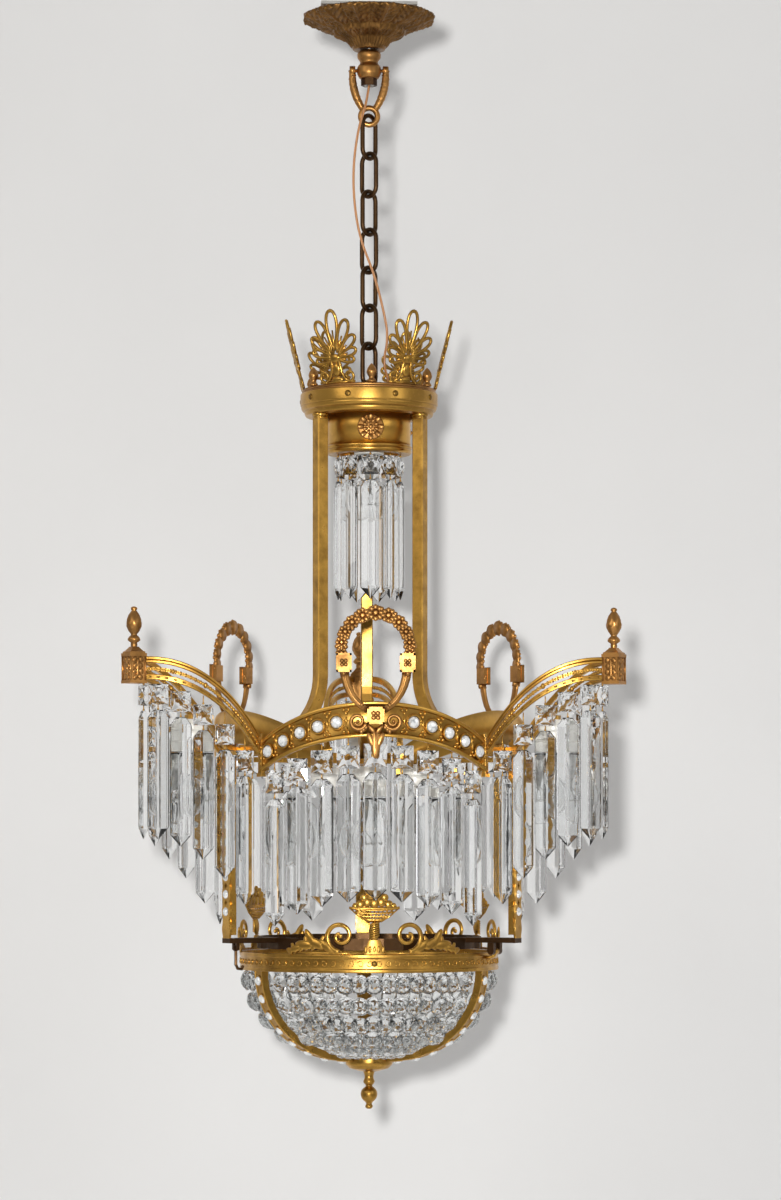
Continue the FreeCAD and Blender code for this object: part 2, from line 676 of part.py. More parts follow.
def arches():
    inner, outer, flats = arch_r - arch_t / 2, arch_r + arch_t / 2, 51
    z0, z1 = arch_end_z - 60, arch_top_z + 20
    band = slab(arch_outline(0, 0), (0, 90, 0)).common(tube(outer, inner, z0, z1, flats))
    lips = [slab(strip_outline(e, lip_h), (0, 90, 0)).common(tube(outer + lip_t, outer, z0, z1, flats))
            for e in (False, True)]
    seats, gems = [], []
    hole = pyramid_stack([(jewel_r * 0.8, -8), (jewel_r * 0.8, 8)], 4)
    gem = pyramid_stack([(jewel_r, 0), (0, 4.0)], 6)
    for phi in jewel_angles():
        mid = (arch_edge(phi) + arch_edge(phi, True)) / 2
        seats.append(facing_out(hole, arch_r, 270.0 + phi, mid))
        gems.append(facing_out(gem, outer * math.cos(math.pi / flats), 270.0 + phi, mid))
    arch = fused([band] + lips).cut(seats)
    joints = junctions()
    names = ("front", "right", "left")
    all_gems = []
    for i, az in enumerate(FACES):
        save("arch_%s" % names[i], faced(arch, az).cut(joints))
        all_gems += [faced(g, az).cut(joints) for g in gems]
    return all_gems


def band_round(points, width):
    """Outline of an open flat band of this width whose middle follows points."""
    left, right = [], []
    for i, (x, z) in enumerate(points):
        (xa, za), (xb, zb) = points[max(0, i - 1)], points[min(len(points) - 1, i + 1)]
        run = math.hypot(xb - xa, zb - za)
        nx, nz = -(zb - za) / run * width / 2, (xb - xa) / run * width / 2
        left.append((x + nx, z + nz))
        right.insert(0, (x - nx, z - nz))
    return left + right


def wreath():
    """Garland in front of an arch: florets in a pear ring, legs, plaque, scrolls and a leaf drop."""
    lean = arch_r + arch_t / 2 + lip_t
    back = -lean
    solids = []
    top, side = arch_top_z + 50.5, 33.0
    steps = 11
    spots = []
    for i in range(steps):
        t = -125.0 + 250.0 * i / (steps - 1)
        a = math.radians(90 - t)
        spots.append((side * math.cos(a) * (1.0 if abs(t) < 90 else 0.98), top + 34 * math.sin(a), 8.6 - 0.028 * abs(t)))
    for x, z, r in spots:
        pts = [(x + r * math.cos(math.radians(72 * j + 90)), back,
                z + r * math.sin(math.radians(72 * j + 90))) for j in range(5)]
        solids.append(slab(pts, (0, -5.0, 0)))
    solids.append(slab([(x, back, z) for x, z in band_round([(x, z) for x, z, r in spots], 6.4)], (0, -5.0, 0)))
    for sx in (1, -1):
        solids.append(Part.makeBox(15, 8, 18, V(sx * 30.5 - 7.5, back - 8, top - 23)))
        leg = [V(sx * 30, back - 3, top - 21), V(sx * 27, back - 3, top - 36), V(sx * 20, back - 3, top - 49),
               V(sx * 7, back - 3, top - 60)]
        solids.append(swept(leg, 4, 4.2))
        curl = [V(sx * (17 + 8.5 * math.cos(a)), back - 2.5, top - 70 + 8.5 * math.sin(a))
                for a in [math.radians(-150 + 60 * j) for j in range(6)]]
        solids.append(swept(curl, 4, 2.6))
        solids.append(Part.makeBox(5, 5, 6, V(sx * 9.5 - 2.5, back - 5, top - 75)))
    solids.append(Part.makeBox(16.5, 9, 16.5, V(-8.25, back - 9, top - 72.8)))
    drop = ((0, 107), (-6, 99), (-8.5, 88), (-5, 79), (-7, 72), (7, 72), (5, 79), (8.5, 88), (6, 99))
    solids.append(slab([(x, back - bead_proud, top - fall) for x, fall in drop], (0, -3.5, 0)))
    return fused(solids)


def wreaths():
    one = wreath()
    names = ("front", "right", "left")
    for i, az in enumerate(FACES):
        save("wreath_%s" % names[i], faced(one, az))


# ---------------------------------------------------------------- pendants
def cut_bead(width, depth):
    """Square bead, star-cut to a blunt point front and back; centre at the origin, facing -Y."""
    bead = pyramid_stack([(0, -depth / 2), (width / math.sqrt(2), 0), (0, depth / 2)], 4, 45.0)
    bead.rotate(V(0, 0, 0), V(1, 0, 0), 90)
    return bead


def cut_prism(width, depth, length):
    """Ridged bar with a pointed foot; top face centre at the origin, hanging down, facing -Y."""
    foot = 11.0
    rows = [[(-width / 2, 0, z), (0, -depth / 2, z), (width / 2, 0, z), (0, depth / 2, z)] for z in (0, foot - length)]
    faces = [Part.Face(Part.makePolygon([V(*p) for p in rows[0] + rows[0][:1]]))]
    tip = V(0, 0, -length)
    for i in range(4):
        a, b, c, d = (V(*p) for p in (rows[0][i], rows[0][(i + 1) % 4], rows[1][(i + 1) % 4], rows[1][i]))
        faces.append(Part.Face(Part.makePolygon([a, b, c, d, a])))
        faces.append(Part.Face(Part.makePolygon([d, c, tip, d])))
    solid = Part.Solid(Part.Shell(faces))
    if solid.Volume < 0:
        solid.reverse()
    return solid


def hang(x, y, z, az, width, length, drop):
    """Pin, bead, pin and prism hanging from a point, facing an azimuth."""
    pin = pyramid_stack([(wire_r, -drop), (wire_r, 0)], 3)
    under = -drop - bead_w_of(width)
    low = pyramid_stack([(wire_r, under - pin_gap), (wire_r, under)], 3)
    bead = cut_bead(bead_w_of(width), bead_t)
    bead.translate(V(0, 0, -drop - bead_w_of(width) / 2))
    prism = cut_prism(width, prism_t, length)
    prism.translate(V(0, 0, -drop - bead_w_of(width) - pin_gap))
    return [spun(s, az - 270.0, (x, y, z)) for s in (pin, low, bead, prism)]


def bead_w_of(width):
    return min(bead_w, width - 1.0)


def arch_curtains():
    beads, prisms, pins = [], [], []
    pitch = 26.0
    for face in FACES:
        for i in range(arch_pendants):
            phi = math.degrees(pitch * (i - (arch_pendants - 1) / 2.0) / arch_r)
            at = polar(arch_r, face + phi)
            beside = math.degrees(wire_r / arch_r)
            z = min(arch_underside(phi - beside), arch_underside(phi + beside))
            pin, low, bead, prism = hang(at.x, at.y, z, face + phi, prism_w, arch_drop, pin_gap + 1.5)
            pins += [pin, low]
            beads.append(bead)
            prisms.append(prism)
    save("arch_beads", beads)
    save("arch_prisms", prisms)
    return pins


def arm_underside(share, steps=grille_steps):
    """Height of the lowest bar's lower face, which runs straight between its sections."""
    i = min(steps - 1, int(share * steps))
    a, b = i / float(steps), (i + 1) / float(steps)
    za, zb = sweep_fall(a), sweep_fall(b)
    return low_bar_z - low_bar_drop * (za + (zb - za) * (share - a) / (b - a)) - low_bar_h


def arm_curtains():
    beads, prisms, pins = [], [], []
    _, _, run = lobe_point(0)
    width = lobe_prism_w
    for i in range(lobe_pendants):
        share = 1.0 - (11.5 + (width + 0.8) * i) / run
        p, n, _ = lobe_point(share)
        beside = wire_r / run
        z = min(arm_underside(share - beside), arm_underside(share + beside))
        side = max(0.0, share - (width / 2 + 0.5) / run)
        drop = z - arm_underside(side) + 2.0
        az = math.degrees(math.atan2(n.y, n.x))
        for piece, store in zip(hang(p.x, p.y, z, az, width, lobe_drop, drop), (pins, pins, beads, prisms)):
            for az_arm in CORNERS:
                store.append(spun(piece, az_arm))
                store.append(spun(mirrored(piece), az_arm))
    save("lobe_beads", beads)
    save("lobe_prisms", prisms)
    return pins


def upper_curtain(z):
    beads, prisms, pins = [], [], []
    for i in range(upper_pendants):
        az = 270.0 + 360.0 * i / upper_pendants
        at = polar(curtain_r, az)
        pin, low, bead, prism = hang(at.x, at.y, z, az, upper_prism_w, upper_drop, 3.0)
        pins += [pin, low]
        beads.append(bead)
        prisms.append(prism)
    save("upper_beads", beads)
    save("upper_prisms", prisms)
    return pins


# ---------------------------------------------------------------- strips, hoop, lamps
def strips():
    face_w = strip_w
    top = arch_end_z - 12.3
    low = hoop_top_z
    metal, gems = [], []
    for az in CORNERS:
        face = Part.makeBox(strip_t, face_w, top - low, V(strip_r, -face_w / 2, low))
        holes = []
        count = int((top - low - 12) / strip_pitch)
        for i in range(count):
            z = top - 16 - strip_pitch * (i + 0.5)
            hole = pyramid_stack([(2.2, -6), (2.2, 6)], 4, 0)
            if z > low + 4:
                holes.append(facing_out(hole, strip_r + 1, 0, z))
        face = face.cut(holes)
        sides = [Part.makeBox(strip_side, 1.6, top - low, V(strip_r - strip_side, y, low))
                 for y in (-face_w / 2, face_w / 2 - 1.6)]
        head = Part.makeBox(strip_r - arch_r - 1, face_w, 4.0, V(arch_r + 1, -face_w / 2, top))
        head = head.fuse(Part.makeBox(strip_t, face_w, 4.0, V(strip_r, -face_w / 2, top)))
        body = fused([face] + sides + [head])
        body = body.cut(disc(arch_r + 1, 200, V(0, 0, low - 20)))
        metal.append(spun(body, az))
        for i in range(count):
            gem = pyramid_stack([(4.8, 0), (0, 3.0)], 6)
            gems.append(spun(facing_out(gem, strip_r + strip_t, 0, top - 16 - strip_pitch * i), az))
    save("jewelled_strips", metal)
    return gems


def lower_hoop():
    ring = tube(hoop_r, hoop_r - hoop_t, hoop_low_z, hoop_top_z, 36)
    shapes = [ring]
    for az in CORNERS:
        arm = Part.makeBox(strip_r + strip_t - hoop_r + hoop_t / 2, 15.0, 5.0,
                           V(hoop_r - hoop_t / 2, -7.5, hoop_top_z - 5.0))
        shapes.append(spun(arm, az))
    lug_at, hinge_az = hinge_r, CORNERS[1]
    pin = Part.makeCylinder(hinge_pin_r, 20, V(lug_at, -10, bowl_hinge_z), V(0, 1, 0))
    for y in (-10.0, 4.6):
        lug = Part.makeBox(2 * knuckle_r, 5.4, hoop_top_z - 5.0 - bowl_hinge_z, V(lug_at - knuckle_r, y, bowl_hinge_z))
        eye = rod(knuckle_r, 5.4, V(lug_at, y, bowl_hinge_z), V(0, 1, 0), 12)
        shapes += [spun(lug, hinge_az), spun(eye, hinge_az)]
    shapes.append(spun(pin, hinge_az))
    ear = Part.makeBox(3.0, 3.0, 6.5, V(catch_r - 1.5, -4.8, hoop_top_z - 11.5))
    peg = Part.makeCylinder(1.2, 9.6, V(catch_r, -4.8, hoop_top_z - 10.0), V(0, 1, 0))
    ear2 = ear.copy()
    ear2.translate(V(0, 6.6, 0))
    for s in (ear, ear2, peg):
        shapes.append(spun(s, CORNERS[0]))
    save("lower_hoop", fused(shapes))


def catch_hook():
    z = hoop_top_z - 10.0
    path = [V(catch_r, 0, z - 2.0), V(catch_r, 0, z - 16), V(catch_r - 2.2, 0, z - 20),
            V(catch_r - 6.5, 0, z - 20.5), V(catch_r - 8.2, 0, z - 17)]
    hook = swept(path, 6, 1.5)
    eye = rod(3.2, 2.6, V(catch_r, -1.3, z), V(0, 1, 0), 10)
    body = hook.fuse(eye).cut(Part.makeCylinder(1.2 + clear, 8, V(catch_r, -4, z), V(0, 1, 0)))
    save("catch_hook", spun(body, CORNERS[0]))


def lamp_glass(radius, neck, top, centre):
    drop = top - centre
    return [(0, top), (neck, top), (neck, top - drop * 0.22), (radius * 0.76, centre + radius * 0.66),
            (radius, centre), (radius * 0.76, centre - radius * 0.66), (0, centre - radius)]


def lamps(shell_low):
    sockets, glasses = [], []
    for r, zc in ((outer_lamp_r, outer_lamp_z), (inner_lamp_r, inner_lamp_z)):
        for az in CORNERS:
            at = polar(r, az)
            z = zc + lamp_drop
            sockets.append(turned([(0, z + socket_h), (socket_r - 4, z + socket_h), (socket_r, z + socket_h - 5),
                                   (socket_r, z), (0, z)], (at.x, at.y), sides=10))
            glasses.append(turned(lamp_glass(glass_r, glass_neck_r, z, zc), (at.x, at.y), sides=10))
    low = shell_low - low_ring_h
    sockets.append(turned([(0, low + 30), (socket_r - 3, low + 30), (socket_r, low + 25), (socket_r, low), (0, low)], sides=24))
    glasses.append(turned(lamp_glass(upper_glass_r, 11.0, low, low - 46.0), sides=12))
    save("lamp_sockets", sockets)
    save("lamp_bulbs", glasses)

    # bridge under the posts: a hub, three radial bars and drops to the inner sockets
    bar_z = arch_end_z - 3
    under = bar_z - 4 - post_w / 2
    hub = disc(13, 5, V(0, 0, under - 5), 12)
    bridge = [hub]
    for az in CORNERS:
        bridge.append(spun(Part.makeBox(arch_r - 6, 9, 5, V(0, -4.5, under - 5)), az))
        drop = disc(3.5, under - 5 - (inner_lamp_z + lamp_drop + socket_h),
                    V(inner_lamp_r, 0, inner_lamp_z + lamp_drop + socket_h), 8)
        bridge.append(spun(drop, az))
    arms_out = []
    top = outer_lamp_z + lamp_drop + socket_h
    for az in CORNERS:
        rings = []
        for r, z in ((arch_r + 1, bar_z - 1), (arch_r + 14, bar_z + 1), (outer_lamp_r - 14, top + 4.5),
                     (outer_lamp_r + 6, top + 4.0)):
            rings.append([V(r, -4, z), V(r, 4, z), V(r, 4, z - 4), V(r, -4, z - 4)])
        arm = ribbon(rings).cut(disc(arch_r + 1, 100, V(0, 0, bar_z - 50)))
        arms_out.append(spun(arm, az))
    save("lamp_bridge", [fused(bridge)] + arms_out)


# ---------------------------------------------------------------- bowl


def bowl_point(t, inset):
    """Point of the bowl's quarter-ellipse profile and its outward normal; t in degrees."""
    a, b = bowl_ring_r - 0.5 - bowl_cap_r, bowl_low_z - bowl_bottom_z
    c, s = math.cos(math.radians(t)), math.sin(math.radians(t))
    normal = V(c / a, 0, -s / b)
    normal.normalize()
    point = V(bowl_cap_r + a * c, 0, bowl_low_z - b * s)
    return point - normal * inset, normal


def bowl():
    inner = bowl_ring_r - bowl_ring_t
    ring = tube(bowl_ring_r, inner, bowl_low_z, bowl_top_z)
    tab = Part.makeBox(hinge_r - bowl_ring_r, 8.0, 4.0, V(bowl_ring_r - 0.4, -4.0, bowl_hinge_z - 8.0))
    tab = tab.fuse(Part.makeBox(4.0, 8.0, 8.0, V(hinge_r - 2.0, -4.0, bowl_hinge_z - 8.0)))
    tab = tab.fuse(rod(knuckle_r, 8.0, V(hinge_r, -4.0, bowl_hinge_z), V(0, 1, 0), 12))
    tab = tab.cut(Part.makeCylinder(hinge_pin_r + clear, 12, V(hinge_r, -6, bowl_hinge_z), V(0, 1, 0)))
    ring = fused([ring, spun(tab, CORNERS[1])])

    ribs, gems = [], []
    steps = 7
    for az in CORNERS:
        for y0, y1, d0, d1 in ((-7.5, 7.5, 0.0, rib_t), (-7.5, -5.9, rib_t, rib_t + rib_side),
                               (5.9, 7.5, rib_t, rib_t + rib_side)):
            rings = []
            for i in range(steps + 1):
                t = 90.0 * i / steps
                a, _ = bowl_point(t, d0)
                b, _ = bowl_point(t, d1)
                rings.append([V(a.x, y0, a.z), V(a.x, y1, a.z), V(b.x, y1, b.z), V(b.x, y0, b.z)])
            ribs.append(spun(ribbon(rings), az))
        for i in range(8):
            p, n = bowl_point(6.0 + 11.4 * i, 0.15)
            gem = pyramid_stack([(4.6, 0), (0, 2.8)], 6)
            gem.rotate(V(0, 0, 0), V(0, 1, 0), 90 + math.degrees(math.atan2(-n.z, n.x)))
            gem.translate(p)
            gems.append(spun(gem, az))
    save("bowl_ribs", ribs)
    save("rib_jewels", gems)

    beads = []
    per_gap, first = 8, 13.0
    step = (120.0 - 2 * first) / (per_gap - 1)
    row, t, done = 0, 0.0, 0.0
    places = []
    while True:
        p, n = bowl_point(t, 5.0)
        size = min(22.0, 0.93 * math.radians(step) * p.x)
        need = done + size / 2 if row == 0 else size / 2 + places[-1][3] / 2
        run, q, tt = 0.0, p, t
        while run < need and tt < 90:
            tt += 0.5
            nxt, n = bowl_point(tt, 5.0)
            run += (nxt - q).Length
            q = nxt
        if tt >= 88 or q.x < bowl_cap_r + 5:
            break
        places.append((q, n, tt, size))
        t = tt
        row += 1
    for row, (q, n, tt, size) in enumerate(places):
        half = bead_fill * size
        bead = pyramid_stack([(0, -size * 0.27), (half, 0), (0, size * 0.27)], 4)
        bead.rotate(V(0, 0, 0), V(0, 1, 0), 90 + math.degrees(math.atan2(-n.z, n.x)))
        bead.translate(q)
        for az in CORNERS:
            for j in range(per_gap):
                off = math.radians(min(first + step * j, 120.0 - first - step * j))
                if q.x * math.sin(off) > 7.5 + size / 2 + clear:
                    beads.append(spun(bead, az + first + step * j))
    save("bowl_beads", beads)

    low = bowl_bottom_z - 10.5
    save("bowl_cap", turned([(0, low), (10, low), (20, low + 3), (bowl_cap_r, low + 8),
                             (bowl_cap_r, bowl_bottom_z + 8), (bowl_cap_r - 2, bowl_bottom_z + 8),
                             (bowl_cap_r - 2, low + 8), (0, low + 5)]))
    f = finial_low_z
    save("bowl_finial", turned([(0, low), (finial_neck_r, low), (finial_neck_r - 1.6, low - 5),
                                (finial_neck_r, low - 11), (3.2, low - 14.5), (finial_ball_r, low - 21),
                                (finial_ball_r - 0.8, low - 26), (3.6, f + 7), (2.6, f + 5.5), (4.0, f + 3), (0, f)]))
    screws = []
    for az in FACES:
        head = pyramid_stack([(3.0, 0), (3.0, 1.4)], 6)
        screws.append(facing_out(head, bowl_ring_r * math.cos(math.pi / 48), az, (bowl_top_z + bowl_low_z) / 2))
    save("bowl_ring", [ring] + screws)


def ornaments():
    """Fruit basket between two leaf scrolls, standing on the bowl's ring."""
    z = bowl_top_z
    stem = [(-13, 0), (13, 0), (5.5, 16), (6.5, 30), (24, 42), (25, 46), (18, 52), (11, 62), (0, 65),
            (-11, 62), (-18, 52), (-25, 46), (-24, 42), (-6.5, 30), (-5.5, 16)]
    flat = [slab([(x, -200, z + h) for x, h in stem], (0, 140, 0))]
    for sx in (1, -1):
        spiral = []
        for i in range(8):
            a = math.radians(-95 - 60 * i)
            r = 16.0 - 1.6 * i
            spiral.append((sx * (33 - r * math.cos(a)), z + 17.8 + r * math.sin(a)))
        flat.append(slab([(x, -200, h) for x, h in band_round(spiral, 4.0)], (0, 140, 0)))
        leaf = [(10, 0), (86, 0), (90, 5), (78, 13), (64, 20), (57, 16), (50, 20), (46, 10), (34, 4)]
        flat.append(slab([(sx * x, -200, z + h) for x, h in leaf], (0, 140, 0)))
    shape = fused(flat).common(tube(bowl_ring_r + 1.5, bowl_ring_r - 2.0, z, z + 90))
    save("bowl_ornaments", [faced(shape, az) for az in FACES])


# ---------------------------------------------------------------- supply cord
def supply_cord():
    nut_low = collar_low_z - nut_h
    points = [V(0, 0, nut_low), V(-3, -8, -103), V(-11, -16, -127), V(-16.5, -15, -165), V(-15.5, -16, -205),
              V(-9, -15, -240), V(4, -15, -272), V(13, -16, -306), V(19, -14, -336), V(13, -19, -362),
              V(20, -9, -382), V(17, 5, -395), V(16, 8, -408)]
    edges = []
    start = points[0]
    least = 1e9
    length = 0.0
    for i in range(1, len(points) - 1):
        a, p, b = points[i - 1], points[i], points[i + 1]
        u, v = p - a, b - p
        short = min(u.Length, v.Length)
        turn = u.getAngle(v)
        radius = 0.45 * short / math.tan(turn / 2)
        least = min(least, radius)
        u.normalize()
        v.normalize()
        cut = 0.45 * short
        p0, p1 = p - u * cut, p + v * cut
        inward = v - u
        inward.normalize()
        centre = p + inward * (radius / math.cos(turn / 2))
        mid = centre - inward * radius
        edges.append(Part.makeLine(start, p0))
        edges.append(Part.Arc(p0, mid, p1).toShape())
        print("cord bend %d: radius %.1f mm" % (i, radius))
        start = p1
    edges.append(Part.makeLine(start, points[-1]))
    length = sum(e.Length for e in edges)
    route = Part.Wire(edges)
    along = points[1] - points[0]
    across = along.cross(V(0, 1, 0))
    across.normalize()
    up = across.cross(along)
    up.normalize()
    section_r = cord_r * math.sqrt(math.pi / (1.5 * math.sqrt(3)))
    ring = [points[0] + across * x + up * y for x, y in ngon(section_r, 6)]
    ring = Part.makePolygon(ring + [ring[0]])
    pipe = route.makePipeShell([ring], True, False)
    print("cord length %.1f mm, least radius %.1f mm, volume %.1f against %.1f" %
          (length, least, pipe.Volume, length * math.pi * cord_r ** 2))
    save("supply_cord", Part.Solid(Part.Shell(pipe.Faces)) if not pipe.Solids else pipe)


ceiling_group()
hanging_loop()
chain()
shell_end = drum()
crown()
arms()
jewels = arches()
wreaths()
wires = arch_curtains() + arm_curtains() + upper_curtain(shell_end - low_ring_h)
save("pendant_pins", wires)
save("set_jewels", jewels + strips())
lower_hoop()
catch_hook()
lamps(shell_end)
bowl()
ornaments()
supply_cord()
print("built")
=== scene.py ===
from math import atan2, cos, degrees, exp, hypot, pi, radians, sin, sqrt

import bmesh
import bpy
from mathutils import Matrix, Vector, noise


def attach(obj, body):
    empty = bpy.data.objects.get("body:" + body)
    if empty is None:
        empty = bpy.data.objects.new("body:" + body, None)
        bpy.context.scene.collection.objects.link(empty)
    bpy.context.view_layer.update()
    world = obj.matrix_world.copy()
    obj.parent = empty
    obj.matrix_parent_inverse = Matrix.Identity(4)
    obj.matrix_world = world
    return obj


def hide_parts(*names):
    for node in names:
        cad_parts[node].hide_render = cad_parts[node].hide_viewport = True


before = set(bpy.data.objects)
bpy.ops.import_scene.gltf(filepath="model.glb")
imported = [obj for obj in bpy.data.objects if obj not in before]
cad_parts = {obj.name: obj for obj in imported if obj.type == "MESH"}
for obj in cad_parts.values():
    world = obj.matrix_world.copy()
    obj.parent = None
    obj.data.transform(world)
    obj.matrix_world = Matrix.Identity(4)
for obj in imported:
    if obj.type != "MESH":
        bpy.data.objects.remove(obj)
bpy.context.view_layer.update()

bl_info = {
    "name": "Crystal chandelier",
    "version": (1, 0, 0),
    "blender": (4, 5, 0),
    "location": "3D View > Sidebar > Chandelier",
    "description": "Dresses the packed chandelier in gilt brass, cut crystal and clear lamps",
    "category": "Object",
}

# Lengths are millimetres and angles degrees, unless a line says otherwise.
MM = 0.001
DEPTH, UP = Vector((0, 1, 0)), Vector((0, 0, 1))
# azimuths of the three arches and of the three corner arms
FACES = (270.0, 30.0, 150.0)
CORNERS = (210.0, 330.0, 90.0)
FACE_SIDES = tuple(zip(FACES, ("front", "right", "left")))
CORNER_SIDES = tuple(zip(CORNERS, ("left", "right", "rear")))
BOX_FACES = [[3, 2, 1, 0], [4, 5, 6, 7], [0, 1, 5, 4], [1, 2, 6, 5], [2, 3, 7, 6], [3, 0, 4, 7]]


# ------------------------------------------------------------------ settings
class ChandelierMetal(bpy.types.PropertyGroup):
    """Colours and wear of the brass"""
    gilt: bpy.props.FloatVectorProperty(
        name="Gilt brass", description="Bright colour of the gilt castings",
        subtype="COLOR", size=3, min=0, max=1, default=(0.66, 0.37, 0.075))
    # recess colour: patina of the old gilding together with painted shade in the hollows of the castings
    patina_and_shade: bpy.props.FloatVectorProperty(
        name="Recess patina and painted shade", description="Colour of the old gilding and of the painted shade in the recesses",
        subtype="COLOR", size=3, min=0, max=1, default=(0.10, 0.045, 0.012))
    rose: bpy.props.FloatVectorProperty(
        name="Bronzed brass", description="Warm colour of the wreaths, finials and crown",
        subtype="COLOR", size=3, min=0, max=1, default=(0.50, 0.25, 0.075))
    # dark colour: real patina on the chain; on the lower hoop it is painted shade for its inner side, which
    # lies in shade
    dark: bpy.props.FloatVectorProperty(
        name="Dark patina", description="Patina colour of the chain and painted shade colour of the lower hoop",
        subtype="COLOR", size=3, min=0, max=1, default=(0.085, 0.045, 0.020))
    wear: bpy.props.FloatProperty(
        name="Wear", description="How strongly the gilding darkens in patches",
        subtype="FACTOR", min=0, max=1, default=0.55)


class ChandelierCrystal(bpy.types.PropertyGroup):
    """Looks of the cut crystal"""
    index: bpy.props.FloatProperty(
        name="Refractive index", description="Refractive index of the cut crystal",
        min=1.3, max=2.2, default=1.56)
    tint: bpy.props.FloatVectorProperty(
        name="Tint", description="Very slight tint of the crystal",
        subtype="COLOR", size=3, min=0, max=1, default=(0.975, 0.985, 0.99))


class ChandelierStage(bpy.types.PropertyGroup):
    """Cloth and camera"""
    backdrop: bpy.props.FloatVectorProperty(
        name="Backdrop", description="Colour of the cloth behind the chandelier",
        subtype="COLOR", size=3, min=0, max=1, default=(0.82, 0.82, 0.82))
    backdrop_gap: bpy.props.FloatProperty(
        name="Backdrop distance", description="From the chandelier's axis to the cloth",
        unit="LENGTH", subtype="DISTANCE", min=0.3, max=3, default=0.62)
    camera_distance: bpy.props.FloatProperty(
        name="Camera distance", description="From the chandelier's axis to the camera",
        unit="LENGTH", subtype="DISTANCE", min=1, max=10, default=3.6)
    eye_height: bpy.props.FloatProperty(
        name="Eye height", description="Height of the camera, below the ceiling",
        unit="LENGTH", subtype="DISTANCE", min=-3, max=1, default=-0.847)
    turn: bpy.props.FloatProperty(
        name="Turn", description="How far the camera stands round to the left",
        unit="ROTATION", subtype="ANGLE", default=radians(2.3))


# ------------------------------------------------------------------ material nodes
def new_material(name):
    """A fresh node material: itself, its tree and its shader."""
    mat = bpy.data.materials.new(name)
    mat.use_nodes = True
    tree = mat.node_tree
    bsdf = tree.nodes["Principled BSDF"]
    return mat, tree, bsdf


def coords(tree, stretch=(1, 1, 1)):
    """Object coordinates, stretched along each axis."""
    tc = tree.nodes.new("ShaderNodeTexCoord")
    mapping = tree.nodes.new("ShaderNodeMapping")
    mapping.inputs["Scale"].default_value = stretch
    tree.links.new(tc.outputs["Object"], mapping.inputs["Vector"])
    return mapping.outputs["Vector"]


def noise_node(tree, vector, scale, detail, rough=0.55):
    """Noise from 0 to 1; scale is per metre."""
    node = tree.nodes.new("ShaderNodeTexNoise")
    node.inputs["Scale"].default_value = scale
    node.inputs["Detail"].default_value = detail
    node.inputs["Roughness"].default_value = rough
    tree.links.new(vector, node.inputs["Vector"])
    return node.outputs["Fac"]


def ramp(tree, value, stops):
    """Colour that runs through (place, colour) stops."""
    node = tree.nodes.new("ShaderNodeValToRGB")
    elements = node.color_ramp.elements
    while len(elements) < len(stops):
        elements.new(0.5)
    for element, (at, colour) in zip(elements, stops):
        element.position = at
        element.color = (*colour, 1.0)
    tree.links.new(value, node.inputs["Fac"])
    return node.outputs["Color"]


def spread(tree, value, low, high, out_low, out_high):
    """Maps low to high onto another range, held at its ends."""
    node = tree.nodes.new("ShaderNodeMapRange")
    for name, number in (("From Min", low), ("From Max", high), ("To Min", out_low), ("To Max", out_high)):
        node.inputs[name].default_value = number
    tree.links.new(value, node.inputs["Value"])
    return node.outputs["Result"]


def mixed(tree, share, a, b):
    """Blend of two colours, each a tuple or an output."""
    node = tree.nodes.new("ShaderNodeMix")
    node.data_type = "RGBA"
    for key, value in ((6, a), (7, b)):
        if isinstance(value, tuple):
            node.inputs[key].default_value = (*value, 1.0)
        else:
            tree.links.new(value, node.inputs[key])
    tree.links.new(share, node.inputs[0])
    return node.outputs[2]


def bump(tree, bsdf, height, strength, distance):
    """Fine relief; the distance is in metres."""
    node = tree.nodes.new("ShaderNodeBump")
    node.inputs["Strength"].default_value = strength
    node.inputs["Distance"].default_value = distance
    tree.links.new(height, node.inputs["Height"])
    tree.links.new(node.outputs["Normal"], bsdf.inputs["Normal"])


def cast_brass(name, bright, patina_and_shade, wear, rough=(0.22, 0.42), scale=1.0, patina_and_shade_depth=0.5):
    """Old gilt brass: darker in the hollows from patina and painted shade, brighter on the rubbed ridges,
    fine pitting.
    """
    mat, tree, bsdf = new_material(name)
    vector = coords(tree)
    cloud = noise_node(tree, vector, 45.0 * scale, 6.0, 0.6)
    fine = noise_node(tree, vector, 420.0 * scale, 3.0, 0.6)
    # Pointiness pulls hollows and creases towards the recess colour: partly old patina, partly painted shade
    # standing in for ambient occlusion. The noise patches are real wear.
    geometry = tree.nodes.new("ShaderNodeNewGeometry")
    patina_and_painted_shade_mask = spread(tree, geometry.outputs["Pointiness"], 0.5 - 0.10 * patina_and_shade_depth, 0.5 + 0.06, 0.0, 1.0)
    patch = spread(tree, cloud, 0.30, 0.62, 1.0 - wear, 1.0)
    both = tree.nodes.new("ShaderNodeMath")
    both.operation = "MULTIPLY"
    tree.links.new(patch, both.inputs[0])
    tree.links.new(spread(tree, patina_and_painted_shade_mask, 0.0, 1.0, 0.55, 1.0), both.inputs[1])
    tone = mixed(tree, both.outputs["Value"], tuple(patina_and_shade), tuple(bright))
    light = tuple(min(1.0, c * 1.18 + 0.03) for c in bright)
    tone = mixed(tree, spread(tree, fine, 0.55, 0.8, 0.0, 0.35), tone, light)
    tree.links.new(tone, bsdf.inputs["Base Color"])
    bsdf.inputs["Metallic"].default_value = 1.0
    tree.links.new(spread(tree, cloud, 0.3, 0.7, rough[1], rough[0]), bsdf.inputs["Roughness"])
    bump(tree, bsdf, fine, 0.18, 0.0004)
    return mat


